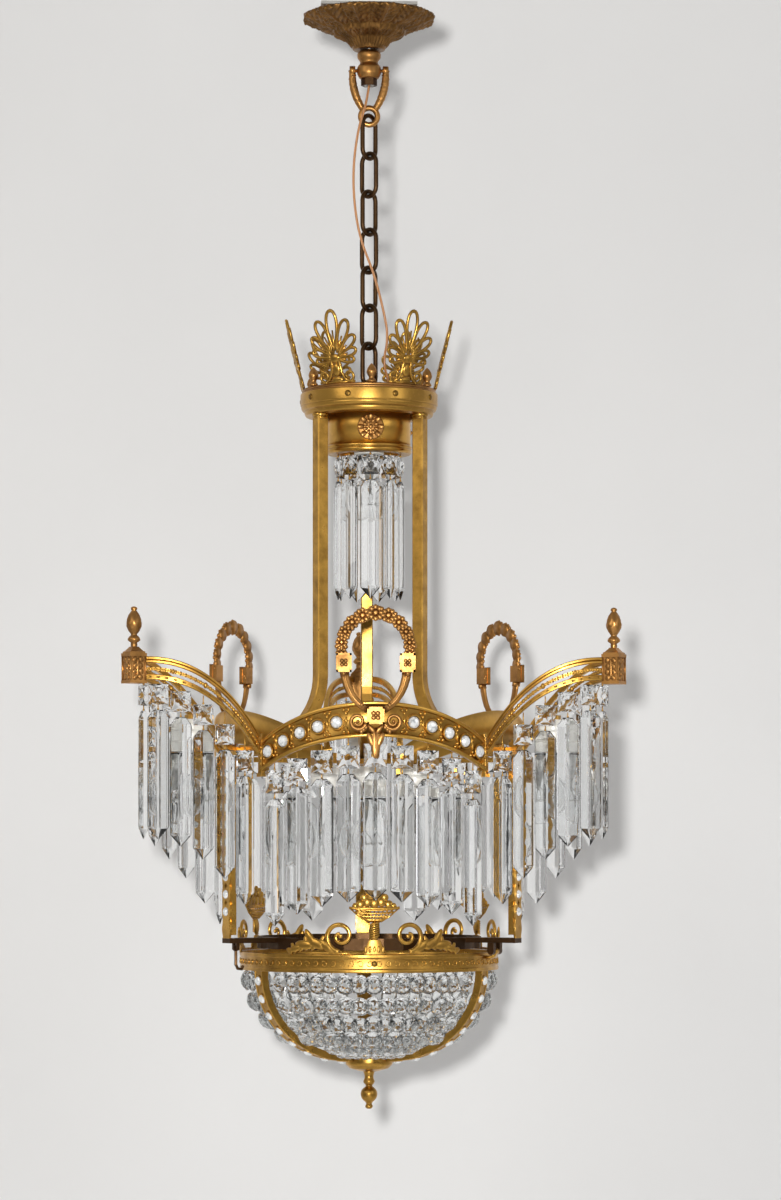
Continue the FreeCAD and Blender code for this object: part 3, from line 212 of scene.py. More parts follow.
def crystal_material(name, index, tint):
    """Clear cut crystal with faint wandering striae."""
    mat, tree, bsdf = new_material(name)
    vector = coords(tree, (1, 1, 0.25))
    streak = noise_node(tree, vector, 60.0, 3.0, 0.5)
    tone = mixed(tree, spread(tree, streak, 0.3, 0.75, 0.0, 1.0), tuple(tint),
                 tuple(min(1.0, c + 0.012) for c in tint))
    tree.links.new(tone, bsdf.inputs["Base Color"])
    bsdf.inputs["Transmission Weight"].default_value = 1.0
    bsdf.inputs["Roughness"].default_value = 0.0
    bsdf.inputs["IOR"].default_value = index
    bump(tree, bsdf, streak, 0.04, 0.0006)
    return mat


def plain_material(name, noise_scale, detail, stops, values, relief, stretch=(1, 1, 1)):
    """Material whose colour follows a noise; relief is the bump's strength and distance."""
    mat, tree, bsdf = new_material(name)
    cloud = noise_node(tree, coords(tree, stretch), noise_scale, detail)
    tree.links.new(ramp(tree, cloud, stops), bsdf.inputs["Base Color"])
    for key, value in values.items():
        bsdf.inputs[key].default_value = value
    bump(tree, bsdf, cloud, *relief)
    return mat, tree, bsdf, cloud


def zinc():
    """Zinc plate, brushed along the height."""
    mat, tree, bsdf, cloud = plain_material(
        "Zinc plate", 120.0, 5.0, [(0.3, (0.34, 0.33, 0.30)), (0.7, (0.62, 0.61, 0.58))],
        {"Metallic": 1.0}, (0.12, 0.0003), (1, 1, 6))
    tree.links.new(spread(tree, cloud, 0.3, 0.7, 0.45, 0.28), bsdf.inputs["Roughness"])
    return mat


def lamp_glass():
    """Clear bulb glass with a faint swirl."""
    mat, tree, bsdf = new_material("Lamp glass")
    swirl = noise_node(tree, coords(tree), 30.0, 2.0)
    share = spread(tree, swirl, 0.3, 0.7, 0.0, 1.0)
    tone = mixed(tree, share, (0.97, 0.98, 0.98), (1.0, 1.0, 1.0))
    tree.links.new(tone, bsdf.inputs["Base Color"])
    bsdf.inputs["Transmission Weight"].default_value = 1.0
    bsdf.inputs["Roughness"].default_value = 0.0
    bsdf.inputs["IOR"].default_value = 1.45
    bump(tree, bsdf, swirl, 0.03, 0.0005)
    return mat


def flex_sheath():
    """Woven copper-coloured sheath of the supply flex."""
    mat, tree, bsdf = new_material("Copper flex")
    weave = tree.nodes.new("ShaderNodeTexWave")
    weave.inputs["Scale"].default_value = 180.0
    weave.inputs["Distortion"].default_value = 1.5
    tree.links.new(coords(tree, (1, 1, 3)), weave.inputs["Vector"])
    tone = ramp(tree, weave.outputs["Fac"], [(0.2, (0.36, 0.15, 0.055)), (0.8, (0.62, 0.30, 0.12))])
    tree.links.new(tone, bsdf.inputs["Base Color"])
    bsdf.inputs["Roughness"].default_value = 0.34
    bsdf.inputs["Coat Weight"].default_value = 0.3
    bump(tree, bsdf, weave.outputs["Fac"], 0.25, 0.0003)
    return mat


def make_finish(name):
    """Builds one finish from the settings of the add-on."""
    metal = bpy.context.scene.chandelier_metal
    glass = bpy.context.scene.chandelier_crystal

    def dim(colour, share):
        return [c * share for c in colour]

    # name, bright colour, colour of the patina and painted shade, wear, roughness range, grain, depth of the
    # patina and painted shade in the hollows
    brass = {"gilt": ("Gilt brass", metal.gilt, metal.patina_and_shade, metal.wear),
             "gilt_satin": ("Satin gilt band", metal.gilt, metal.patina_and_shade, metal.wear * 0.6, (0.26, 0.40), 0.6,
                            0.3), "gilt_post": ("Brushed gilt post", dim(metal.gilt, 0.85), metal.patina_and_shade,
                                                metal.wear, (0.26, 0.42), 1.6, 0.4),
             # openwork: a near-black recess colour and deep hollows, painted shade in the open palmettes
             "openwork": ("Cast openwork", dim(metal.gilt, 0.85), dim(metal.rose, 0.10), 0.65, (0.24, 0.42),
                          1.5, 0.9), "leafwork": ("Dark cast leaves", dim(metal.rose, 0.55),
                                                  dim(metal.rose, 0.16), 0.75, (0.28, 0.46), 1.3, 0.9),
             "rose": ("Bronzed brass", metal.rose, dim(metal.rose, 0.35), metal.wear + 0.1, (0.30, 0.5)),
             "dark": ("Dark patina", metal.dark, dim(metal.dark, 0.45), 0.5, (0.32, 0.5)),
             "umber": ("Umber gilding", dim(metal.gilt, 0.45), metal.patina_and_shade, 0.6, (0.34, 0.5)), }
    crystal = {
        "crystal": ("Cut crystal", glass.index, glass.tint),
        "bowl_crystal": ("Bowl beads", glass.index + 0.02, (0.95, 0.965, 0.965)),
    }
    # name, noise scale, detail, colour stops, shader values, relief
    plain = {
        "jewel": ("Foiled jewels", 260.0, 3.0,
                  [(0.32, (0.40, 0.42, 0.43)), (0.50, (0.78, 0.80, 0.80)), (0.68, (0.93, 0.94, 0.94))],
                  {"Metallic": 0.15, "Roughness": 0.12, "IOR": 1.7, "Coat Weight": 0.8}, (0.15, 0.0006)),
        "porcelain": ("White porcelain", 60.0, 4.0, [(0.3, (0.70, 0.68, 0.62)), (0.7, (0.84, 0.83, 0.79))],
                      {"Roughness": 0.28, "Coat Weight": 0.4}, (0.05, 0.0004)),
        "filament": ("Lamp stem", 200.0, 3.0, [(0.3, (0.42, 0.42, 0.40)), (0.7, (0.70, 0.69, 0.66))],
                     {"Metallic": 0.8, "Roughness": 0.35}, (0.1, 0.0002)),
    }
    if name in brass:
        return cast_brass(*brass[name])
    if name in crystal:
        return crystal_material(*crystal[name])
    if name in plain:
        return plain_material(*plain[name])[0]
    return {"zinc": zinc, "lamp": lamp_glass, "flex": flex_sheath}[name]()


FINISHES = {}


def finish(name):
    """The material of a finish, built once."""
    if name not in FINISHES:
        FINISHES[name] = make_finish(name)
    return FINISHES[name]


# ------------------------------------------------------------------ mesh helpers
def polar(r, az, z=0.0):
    """Point at a radius, azimuth and height."""
    a = radians(az)
    return Vector((r * cos(a), r * sin(a), z))


class Maker:
    """Collects vertices and faces in millimetres for one piece."""

    def __init__(self):
        self.verts, self.faces, self.smooth = [], [], []

    def add(self, verts, faces, smooth=True):
        """Adds loose vertices and faces."""
        base = len(self.verts)
        self.verts += [Vector(v) for v in verts]
        self.faces += [[base + i for i in f] for f in faces]
        self.smooth += [smooth] * len(faces)

    def take(self, other, matrix=None):
        """Adds a copy of another maker's mesh, moved by a matrix."""
        base = len(self.verts)
        self.verts += [matrix @ v if matrix else v.copy() for v in other.verts]
        self.faces += [[base + i for i in f] for f in other.faces]
        self.smooth += other.smooth

    def copies(self, matrices):
        """A new maker with a copy of this mesh at each matrix."""
        out = Maker()
        for matrix in matrices:
            out.take(self, matrix)
        return out

    def dress(self, node, look, body="frame", **more):
        """Builds the dressed piece that takes the place of one node."""
        return self.build(node + "_dressed", finish(look), body, [node], **more)

    def build(self, name, material, body, nodes=(), bevel=0.0, angle=35.0, weld=True):
        """Makes the object, ties it to its body and hides the nodes it replaces."""
        mesh = bpy.data.meshes.new(name)
        mesh.from_pydata([v * MM for v in self.verts], [], self.faces)
        mesh.polygons.foreach_set("use_smooth", self.smooth)
        mesh.validate()
        bm = bmesh.new()
        bm.from_mesh(mesh)
        if weld:
            bmesh.ops.remove_doubles(bm, verts=bm.verts, dist=0.00001)
        bmesh.ops.recalc_face_normals(bm, faces=bm.faces)
        bm.to_mesh(mesh)
        bm.free()
        obj = bpy.data.objects.new(name, mesh)
        bpy.context.scene.collection.objects.link(obj)
        mesh.materials.append(material)
        if bevel:
            mod = obj.modifiers.new("Softened edges", "BEVEL")
            mod.width = bevel * MM
            mod.segments = 2
            mod.limit_method = "ANGLE"
            mod.angle_limit = radians(angle)
            mod.harden_normals = False
        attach(obj, body)
        if nodes:
            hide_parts(*nodes)
        return obj


def tube_faces(rows, count):
    """Quads between rings of count points each."""
    faces = []
    for i in range(rows - 1):
        for j in range(count):
            j2 = (j + 1) % count
            faces.append([i * count + j, i * count + j2, (i + 1) * count + j2, (i + 1) * count + j])
    return faces


def end_caps(rows, count):
    """Flat faces over the first and the last ring."""
    return [list(range(count))[::-1], [(rows - 1) * count + j for j in range(count)]]


def lathe(profile, steps=64):
    """Turned form from (radius, height) points; sharp corners are given twice."""
    m = Maker()
    verts = []
    for r, z in profile:
        for i in range(steps):
            a = 2 * pi * i / steps
            verts.append((r * cos(a), r * sin(a), z))
    m.add(verts, tube_faces(len(profile), steps))
    return m


def hoop(r, z, count, y=0.0):
    """Points of a circle in an XZ plane."""
    return [Vector((r * cos(a), y, z + r * sin(a))) for a in [2 * pi * i / count for i in range(count)]]


def rounded(points, radius=1.0, steps=3):
    """Profile with its inner corners rounded."""
    out = [points[0]]
    for i in range(1, len(points) - 1):
        p0, p, p1 = Vector(points[i - 1]), Vector(points[i]), Vector(points[i + 1])
        a, b = (p0 - p), (p1 - p)
        if a.length < 1e-6 or b.length < 1e-6:
            out.append(tuple(p))
            continue
        r = min(radius, a.length * 0.45, b.length * 0.45)
        a.normalize()
        b.normalize()
        s, e = p + a * r, p + b * r
        for k in range(steps + 1):
            t = k / steps
            out.append(tuple((1 - t) ** 2 * s + 2 * t * (1 - t) * p + t * t * e))
    out.append(points[-1])
    return out


def path_frames(points, closed=False, up=None):
    """A (side, up) pair for each point, square to the path."""
    n = len(points)
    tangents = []
    for i in range(n):
        a = points[(i - 1) % n] if closed or i else points[0]
        b = points[(i + 1) % n] if closed or i < n - 1 else points[-1]
        tangents.append((b - a).normalized())
    frames = []
    if up is not None:
        for t in tangents:
            side = up.cross(t).normalized()
            frames.append((side, t.cross(side).normalized()))
        return frames
    first = UP if abs(tangents[0].z) < 0.9 else Vector((1, 0, 0))
    side = first.cross(tangents[0]).normalized()
    for t in tangents:
        side = (side - t * side.dot(t)).normalized()
        frames.append((side, t.cross(side).normalized()))
    return frames


def bar(points, radius, sides=12, closed=False, up=None, flat=1.0):
    """Round or flattened bar along points; radius may be a function of the share along it."""
    m = Maker()
    points = [Vector(p) for p in points]
    frames = path_frames(points, closed, up)
    n = len(points)
    verts = []
    for i, p in enumerate(points):
        share = i / (n if closed else max(1, n - 1))
        r = radius(share) if callable(radius) else radius
        s, u = frames[i]
        for j in range(sides):
            a = 2 * pi * (j + 0.5) / sides
            verts.append(p + s * (r * cos(a)) + u * (r * flat * sin(a)))
    faces = tube_faces(n, sides)
    if closed:
        last = (n - 1) * sides
        faces += [[last + j, last + (j + 1) % sides, (j + 1) % sides, j] for j in range(sides)]
    else:
        faces += end_caps(n, sides)
    m.add(verts, faces)
    return m


def section_bar(points, section, frames):
    """Bar of any section, in (side, up) points, along a path with a frame for each point."""
    m = Maker()
    verts = [p + s * x + u * y for p, (s, u) in zip(points, frames) for x, y in section]
    m.add(verts, tube_faces(len(points), len(section)) + end_caps(len(points), len(section)), False)
    return m


def ball(radius, centre=(0, 0, 0), rings=8, segments=12, stretch=(1, 1, 1)):
    """Globe with its poles up and down, stretched along each axis."""
    m = Maker()
    cx, cy, cz = centre
    sx, sy, sz = stretch
    verts = [(cx, cy, cz + radius * sz)]
    for i in range(1, rings):
        t = pi * i / rings
        for j in range(segments):
            a = 2 * pi * j / segments
            verts.append((cx + radius * sx * sin(t) * cos(a), cy + radius * sy * sin(t) * sin(a),
                          cz + radius * sz * cos(t)))
    verts.append((cx, cy, cz - radius * sz))
    faces = []
    for j in range(segments):
        j2 = (j + 1) % segments
        faces.append([0, 1 + j, 1 + j2])
        for i in range(rings - 2):
            a = 1 + i * segments
            faces.append([a + j, a + segments + j, a + segments + j2, a + j2])
        a = 1 + (rings - 2) * segments
        faces.append([len(verts) - 1, a + j2, a + j])
    m.add(verts, faces)
    return m


def shift(at):
    """Move by a vector."""
    return Matrix.Translation(at)


def spin(angle, axis):
    """Turn about one axis."""
    return Matrix.Rotation(radians(angle), 4, axis)


def turn(az, at=(0, 0, 0)):
    """Turn to an azimuth, then move."""
    return shift(Vector(at)) @ spin(az, "Z")


def front_to(az):
    """Turns what is modelled at the front so that it faces an azimuth."""
    return spin(az - 270.0, "Z")


def paint(material, *nodes):
    """Gives carried-over solids a finish."""
    for n in nodes:
        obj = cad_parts[n]
        obj.data.materials.clear()
        obj.data.materials.append(material)


# ------------------------------------------------------------------ piece builders
# the collar's two studs, the loop's ring and the links
STUD_Z = -68.0
LOOP_R, LOOP_Z = 8.4, -113.5
CHAIN_TOP, CHAIN_PITCH, LINK_LONG, LINK_WIRE, LINK_BOW = -112.7, 38.0, 42.9, 2.3, 9.5


def chain_links():
    """Seven oblong links, turned by a quarter from one to the next, each with a brazed seam."""
    half = LINK_LONG / 2 - LINK_BOW
    path = []
    for sign in (1, -1):
        for i in range(15):
            a = radians(180.0 * i / 14 + (0 if sign > 0 else 180))
            path.append(Vector((LINK_BOW * cos(a), 0, sign * half + LINK_BOW * sin(a))))
        for k in range(1, 5):
            path.append(Vector((-sign * LINK_BOW, 0, sign * (half - 2 * half * k / 5.0))))
    link = bar(path, LINK_WIRE, 14, closed=True, up=DEPTH)
    link.take(bar([(LINK_BOW, 0, -0.35), (LINK_BOW, 0, 0.35)], LINK_WIRE + 0.12, 14, up=DEPTH))
    for k in range(1, 8):
        middle = CHAIN_TOP - (k - 1) * CHAIN_PITCH - LINK_LONG / 2
        place = turn(45.0 if k % 2 else -45.0, (0, 0, middle))
        link.copies([place]).dress("chain_link_%d" % k, "dark", "link_%d" % k)


def ceiling_rose():
    """Cast canopy with acanthus leaves round a scalloped rim, and its turned collar and nut."""
    steps, lobes = 288, 12
    rim_low, rim_high = -47.5, -13.3
    knots = [(66.5, -14.6), (67.0, -15.2), (66.0, -16.4), (62, -18.2), (55, -21.5), (47, -24.6), (39, -27.0),
             (36.6, -28.0), (36.2, -30.2), (34.5, -32.4), (29, -34.6), (24.5, -36.4), (22.5, -37.6),
             (20.5, -40.6), (18, -43.6), (16.8, -44.6), (16.4, -46.6), (15.6, -47.4), (12, -47.5)]
    rows = []
    for (r0, z0), (r1, z1) in zip(knots, knots[1:]):
        n = max(1, round(hypot(r1 - r0, z1 - z0) / 2.0))
        rows += [(r0 + (r1 - r0) * k / n, z0 + (z1 - z0) * k / n) for k in range(n)]
    rows.append(knots[-1])
    back = [(66.0, -13.6), (39, -25.4), (36, -26.5), (33, -31), (22, -34.8), (15.5, -42.5), (14.6, -45.7),
            (5.2, -45.7)]
    verts, faces = [], []
    for k, (r, z) in enumerate(rows + back):
        for i in range(steps):
            az = 360.0 * i / steps
            a = radians(az)
            # u runs from -0.5 to 0.5 across one leaf
            u = (az * lobes / 360.0) % 1.0 - 0.5
            share = max(0.0, (r - 22.0) / 45.0)
            rim = max(0.0, (r - 36.0) / 31.0)
            wave = abs(cos(pi * u)) ** 0.5
            tooth = abs(sin(pi * u * 5)) * 0.8
            rr = r - (3.6 * (1.0 - wave) + tooth) * rim ** 3
            relief = 0.0
            if k < len(rows) and r > 16.9:
                relief = 2.0 * exp(-(u / 0.05) ** 2) - 2.0 * exp(-((abs(u) - 0.5) / 0.05) ** 2)
                relief += 1.3 * cos(2 * pi * (share * 7.0 - abs(u) * 3.4)) * (1.0 - exp(-(u / 0.1) ** 2))
                relief += 1.5 * noise.noise(Vector((rr * cos(a), rr * sin(a), z)) * 0.35)
                relief *= 0.5 + 0.5 * share
            verts.append((rr * cos(a), rr * sin(a), max(rim_low, min(rim_high, z - relief))))
    ring = list(range(len(rows)))[::-1] + [len(rows) + i for i in range(len(back))]
    ring.append(ring[0])
    for a, b in zip(ring[:-1], ring[1:]):
        for i in range(steps):
            i2 = (i + 1) % steps
            faces.append([a * steps + i, a * steps + i2, b * steps + i2, b * steps + i])
    m = Maker()
    m.add(verts, faces)
    m.dress("canopy", "leafwork", "ceiling")

    collar = lathe(rounded([(5, -47.6), (8.2, -47.6), (9.2, -48.6), (11.6, -50.5), (11.9, -53), (11.6, -55.5),
                            (9.4, -58.2), (8.9, -60), (9.4, -61.5), (11.7, -64), (11.95, -67), (11.95, -71),
                            (10.6, -74), (9.4, -75.9), (5, -75.9)], 1.4), 48)
    collar.take(bar([(-19.3, 0, STUD_Z), (-10.8, 0, STUD_Z)], 1.75, 12))
    collar.take(bar([(10.8, 0, STUD_Z), (19.3, 0, STUD_Z)], 1.75, 12))
    collar.dress("canopy_collar", "rose", "ceiling")
    paint(finish("zinc"), "ceiling_strap", "threaded_nipple")
    paint(finish("dark"), "nipple_nut")


def suspension_loop():
    """Cast loop: two rope-twisted arms that run in to a ring."""
    m = Maker()
    foot_a = radians(48)
    foot = Vector((LOOP_R * cos(foot_a), 0, LOOP_Z + LOOP_R * sin(foot_a)))
    for sx in (1, -1):
        bend = (Vector((sx * 16.6, 0, STUD_Z)), Vector((sx * 17.6, 0, -90)), Vector((sx * foot.x, 0, foot.z)))

        def along(t, bend=bend):
            return bend[0] * (1 - t) ** 2 + bend[1] * (2 * t * (1 - t)) + bend[2] * t * t

        arm = [along(i / 22.0) for i in range(23)]
        m.take(bar(arm, lambda s: 2.9 + 0.9 * sin(pi * s) + 0.4 * abs(sin(s * 26)), 14))
        rope = []
        for i in range(90):
            t = i / 89.0
            a = t * 2 * pi * 5
            rope.append(along(t) + Vector((sx * 3.1 * cos(a), 3.1 * sin(a), 0)))
        m.take(bar(rope, 0.95, 6))
        m.take(bar([(sx * 13.8, 0, STUD_Z), (sx * 19.4, 0, STUD_Z)], 4.7, 20))
    m.take(bar(hoop(LOOP_R, LOOP_Z, 36), 2.85, 14, closed=True, up=DEPTH))
    m.dress("hanging_loop", "rose", "loop")


def drum_and_rim():
    """Moulded rim, drum, lower ring, rosettes, screws and the body's eye."""
    rim = lathe(rounded([(66.1, -392), (68.2, -392), (68.6, -392.8), (68.6, -403.4), (67.6, -404.6),
                         (67.9, -406), (66.6, -408.6), (64.6, -409.6), (64.4, -411.4), (63.4, -413.9),
                         (50, -414), (50, -404.6), (66.1, -404.5), (66.1, -392)], 0.6), 128)
    rim.dress("drum_rim", "gilt_satin")
    shell = lathe([(39.6, -404.6), (41.5, -404.6), (41.5, -443), (39.6, -443), (39.6, -404.6)], 96)
    shell.dress("drum_shell", "gilt_satin")
    low_ring = lathe(rounded([(15, -443.1), (41.4, -443.1), (42.9, -444.6), (42.9, -446.4), (41.8, -447.4),
                              (42.8, -448.4), (42.6, -450.4), (41, -452), (29.6, -452), (29.6, -445.5),
                              (15, -445.5), (15, -443.1)], 0.6), 96)
    low_ring.dress("drum_lower_ring", "gilt")
    paint(finish("gilt_satin"), "drum_top_plate")
    flower = Maker()
    # petals: count, reach, lift, width; the inner row is turned by half a petal
    for row, (count, reach, lift, fat) in enumerate(((8, 9.6, 0.0, 3.9), (8, 5.6, 1.2, 2.7))):
        petal = ball(1.0, (0, 0, 0), 8, 12, (fat, fat * 0.72, 1.5))
        for i in range(count):
            a = 360.0 / count * (i + 0.5 * row)
            flower.take(petal, spin(a, "Z") @ shift((reach, 0, lift + 0.6)) @ spin(-14, "Y"))
    flower.take(ball(2.6, (0, 0, 2.0), 8, 14, (1, 1, 0.7)))
    flower.take(lathe([(0, -2.6), (13.2, -2.6), (13.2, 0.0), (11.8, 0.7), (0, 0.7)], 40))
    seat = shift((0, -41.4, -428.5)) @ spin(90, "X")
    flower.copies(front_to(az) @ seat for az in FACES).dress("drum_rosettes", "rose")
    # nine round-headed screws
    head = lathe([(0, 1.5), (1.6, 1.35), (2.7, 0.9), (3.15, 0.1), (3.15, -0.4), (0, -0.4)], 24)
    seat = shift((68.4, 0, -398.3)) @ spin(90, "Y")
    head.copies(turn(290.0 + 40.0 * i) @ seat for i in range(9)).dress("rim_screws", "umber")
    # the eye hangs in the last link
    m = Maker()
    eye_r, eye_wire, clear = 8.6, 2.5, 0.3
    eye_z = CHAIN_TOP - 6 * CHAIN_PITCH - LINK_LONG + LINK_WIRE + clear + eye_wire - eye_r
    m.take(bar(hoop(eye_r, eye_z, 36), 2.45, 14, closed=True, up=DEPTH), turn(-45))
    m.take(lathe(rounded([(0, -402), (9, -402), (9, -400.4), (6.4, -399.6), (4.6, -398.4),
                          (4.1, eye_z - 8.0), (0, eye_z - 7.6)], 0.5), 32))
    m.dress("body_eye", "umber")


def outline_sheet(loops, thick):
    """Flat plate in the XZ plane from closed loops (first outer, rest holes), back at y=0."""
    curve = bpy.data.curves.new("sheet_outline", "CURVE")
    curve.dimensions = "2D"
    curve.fill_mode = "BOTH"
    curve.extrude = thick / 2 * MM
    curve.bevel_depth = 0.35 * MM
    curve.bevel_resolution = 1
    for loop in loops:
        spline = curve.splines.new("POLY")
        spline.points.add(len(loop) - 1)
        for point, (x, z) in zip(spline.points, loop):
            point.co = (x * MM, z * MM, 0, 1)
        spline.use_cyclic_u = True
    obj = bpy.data.objects.new("sheet_outline", curve)
    bpy.context.scene.collection.objects.link(obj)
    depsgraph = bpy.context.evaluated_depsgraph_get()
    mesh = bpy.data.meshes.new_from_object(obj.evaluated_get(depsgraph))
    m = Maker()
    to_front = shift((0, -thick / 2, 0)) @ spin(90, "X")
    m.add([to_front @ (v.co / MM) for v in mesh.vertices], [p.vertices for p in mesh.polygons], False)
    bpy.data.objects.remove(obj)
    bpy.data.curves.remove(curve)
    bpy.data.meshes.remove(mesh)
    return m


def crown_leaf():
    """One cast palmette: nine looped petals over a waisted stalk with two curls."""
    m = Maker()
    hub = 24.0
    reach = (21.0, 25.5, 32.5, 41.5, 48.6, 41.5, 32.5, 25.5, 21.0)
    for i, length in enumerate(reach):
        a = radians(-4.0 + 23.5 * i)
        c, s = cos(a), sin(a)
        width = 1.5 + 0.122 * length
        loop = []
        for k in range(28):
            t = 2 * pi * k / 28
            along = length * (0.60 - 0.38 * cos(t))
            across = width * sin(t) * (0.42 + 0.58 * (1 - cos(t)) / 2)
            loop.append(Vector((along * c - across * s, -1.6, hub + along * s + across * c)))
        m.take(bar(loop, 1.6, 8, closed=True, up=DEPTH))
        vein = [Vector((length * q * c, -1.4, hub + length * q * s)) for q in (0.16, 0.35, 0.58)]
        m.take(bar(vein, lambda q: 1.5 - 0.6 * q, 6))
        m.take(ball(1.0, (0.985 * length * c, -1.9, hub + 0.985 * length * s - 0.6), 6, 8, (1.5, 1.4, 2.0)))
    for sx in (1, -1):
        curl = []
        for k in range(26):
            t = k / 25.0
            a = radians(-110 + 430 * t)
            r = 6.0 - 4.4 * t
            curl.append(Vector((sx * (13.2 + r * cos(a)), -1.8, 7.2 + r * sin(a))))
        m.take(bar(curl, lambda q: 1.55 - 0.4 * q, 8, up=DEPTH))
        stalk = [Vector((sx * x, -1.7, z)) for x, z in ((4.2, 25), (4.4, 18), (5.2, 11), (8.5, 4.5),
                                                        (12.8, 1.7))]
        m.take(bar(stalk, 1.7, 8, up=DEPTH))
    m.take(ball(1.0, (0, -1.8, 24.5), 8, 12, (6.0, 2.0, 4.6)))
    m.take(ball(1.0, (0, -1.8, 13.5), 8, 12, (4.6, 1.8, 6.4)))
    m.take(ball(1.0, (0, -1.8, 3.6), 8, 12, (7.0, 1.8, 3.4)))
    m.take(bar([(-19, -1.6, 1.3), (19, -1.6, 1.3)], 1.3, 8))
    return m


def crown():
    """Six palmettes, and the band under them with its six buds."""
    lean = shift((0, -63.8, -387.5)) @ spin(14.0, "X")
    leaves = crown_leaf().copies(front_to(300.0 + 60.0 * i) @ lean for i in range(6))
    leaves.dress("crown_palmettes", "openwork")
    band = lathe(rounded([(62.4, -392), (67.4, -392), (67.4, -390.6), (66.2, -389.8), (66.6, -388.4),
                          (65.8, -387.5), (62.4, -387.5), (62.4, -392)], 0.4), 128)
    bud = lathe(rounded([(0, 0), (4.4, 0), (4.5, 1.6), (2.9, 3.6), (2.8, 5.0), (4.6, 8.2), (5.1, 10.5),
                         (4.0, 14), (2.0, 17), (0, 18.8)], 0.8), 24)
    for i in range(6):
        band.take(bud, shift(polar(65.0, 270.0 + 60.0 * i, -387.5)))
    band.dress("crown_band", "rose")


def supply_flex():
    """Thin copper-coloured flex from the nut, down beside the chain and into the drum."""
    points = [(0, 0, -83), (-3, -8, -103), (-11, -16, -127), (-16.5, -15, -165), (-15.5, -16, -205),
              (-9, -15, -240), (4, -15, -272), (13, -16, -306), (19, -14, -336), (13, -19, -362),
              (20, -9, -382), (17, 5, -395), (16, 8, -408)]
    curve = bpy.data.curves.new("supply_flex", "CURVE")
    curve.dimensions = "3D"
    spline = curve.splines.new("NURBS")
    spline.points.add(len(points) - 1)
    for point, p in zip(spline.points, points):
        point.co = (p[0] * MM, p[1] * MM, p[2] * MM, 1)
    spline.order_u = 3
    spline.use_endpoint_u = True
    spline.resolution_u = 12
    curve.bevel_depth = 1.25 * MM
    curve.bevel_resolution = 4
    obj = bpy.data.objects.new("supply_flex", curve)
    bpy.context.scene.collection.objects.link(obj)
    curve.materials.append(finish("flex"))
    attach(obj, "frame")
    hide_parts("supply_cord")


# ------------------------------------------------------------------ middle of the lamp
POST_R, POST_W = 57.0, 12.0
# radius, height of the top, depth of the band at its middle, half its angle, jewels' pitch in degrees
ARCH_R, ARCH_TOP, ARCH_CROWN, ARCH_HALF, ARCH_PITCH = 151.0, -704.5, 34.0, 46.0, 7.059


def posts():
    """Square posts that drop straight from the rim and flare out to the junctions."""
    path = [Vector((0, -POST_R, z)) for z in (-414.2, -480, -560, -640, -674)]
    for i in range(1, 19):
        t = radians(90.0 * i / 18)
        path.append(Vector((0, -(POST_R + 90 * (1 - cos(t))), -674 - 76 * sin(t))))
    w = POST_W / 2 - 0.05
    c = 1.0
    section = [(-w, -w + c), (-w + c, -w), (w - c, -w), (w, -w + c), (w, w - c), (w - c, w), (-w + c, w),
               (-w, w - c)]
    frames = path_frames(path, up=Vector((1, 0, 0)))
    for az, side in CORNER_SIDES:
        m = Maker()
        m.take(section_bar(path, section, frames), front_to(az))
        foot = lathe(rounded([(0, -414.3), (8.4, -414.3), (8.4, -416.4), (7.2, -417.4), (7.6, -418.6),
                              (7.0, -419.6), (0, -419.6)], 0.3), 32)
        m.take(foot, front_to(az) @ shift((0, -POST_R, 0)))
        m.dress("post_%s" % side, "gilt_post")


def arch_fall(half, radius=210.0):
    """How far a circle falls at half a chord from its top."""
    return radius - sqrt(radius ** 2 - half ** 2)


def arch_levels(a):
    """Heights of the arch's two edges at an angle from its middle."""
    u = abs(radians(a)) * ARCH_R
    drop = arch_fall(min(u, 209.0))
    drop = drop * 38.5 / arch_fall(radians(ARCH_HALF) * ARCH_R)
    return ARCH_TOP - drop, ARCH_TOP - ARCH_CROWN - 0.88 * drop


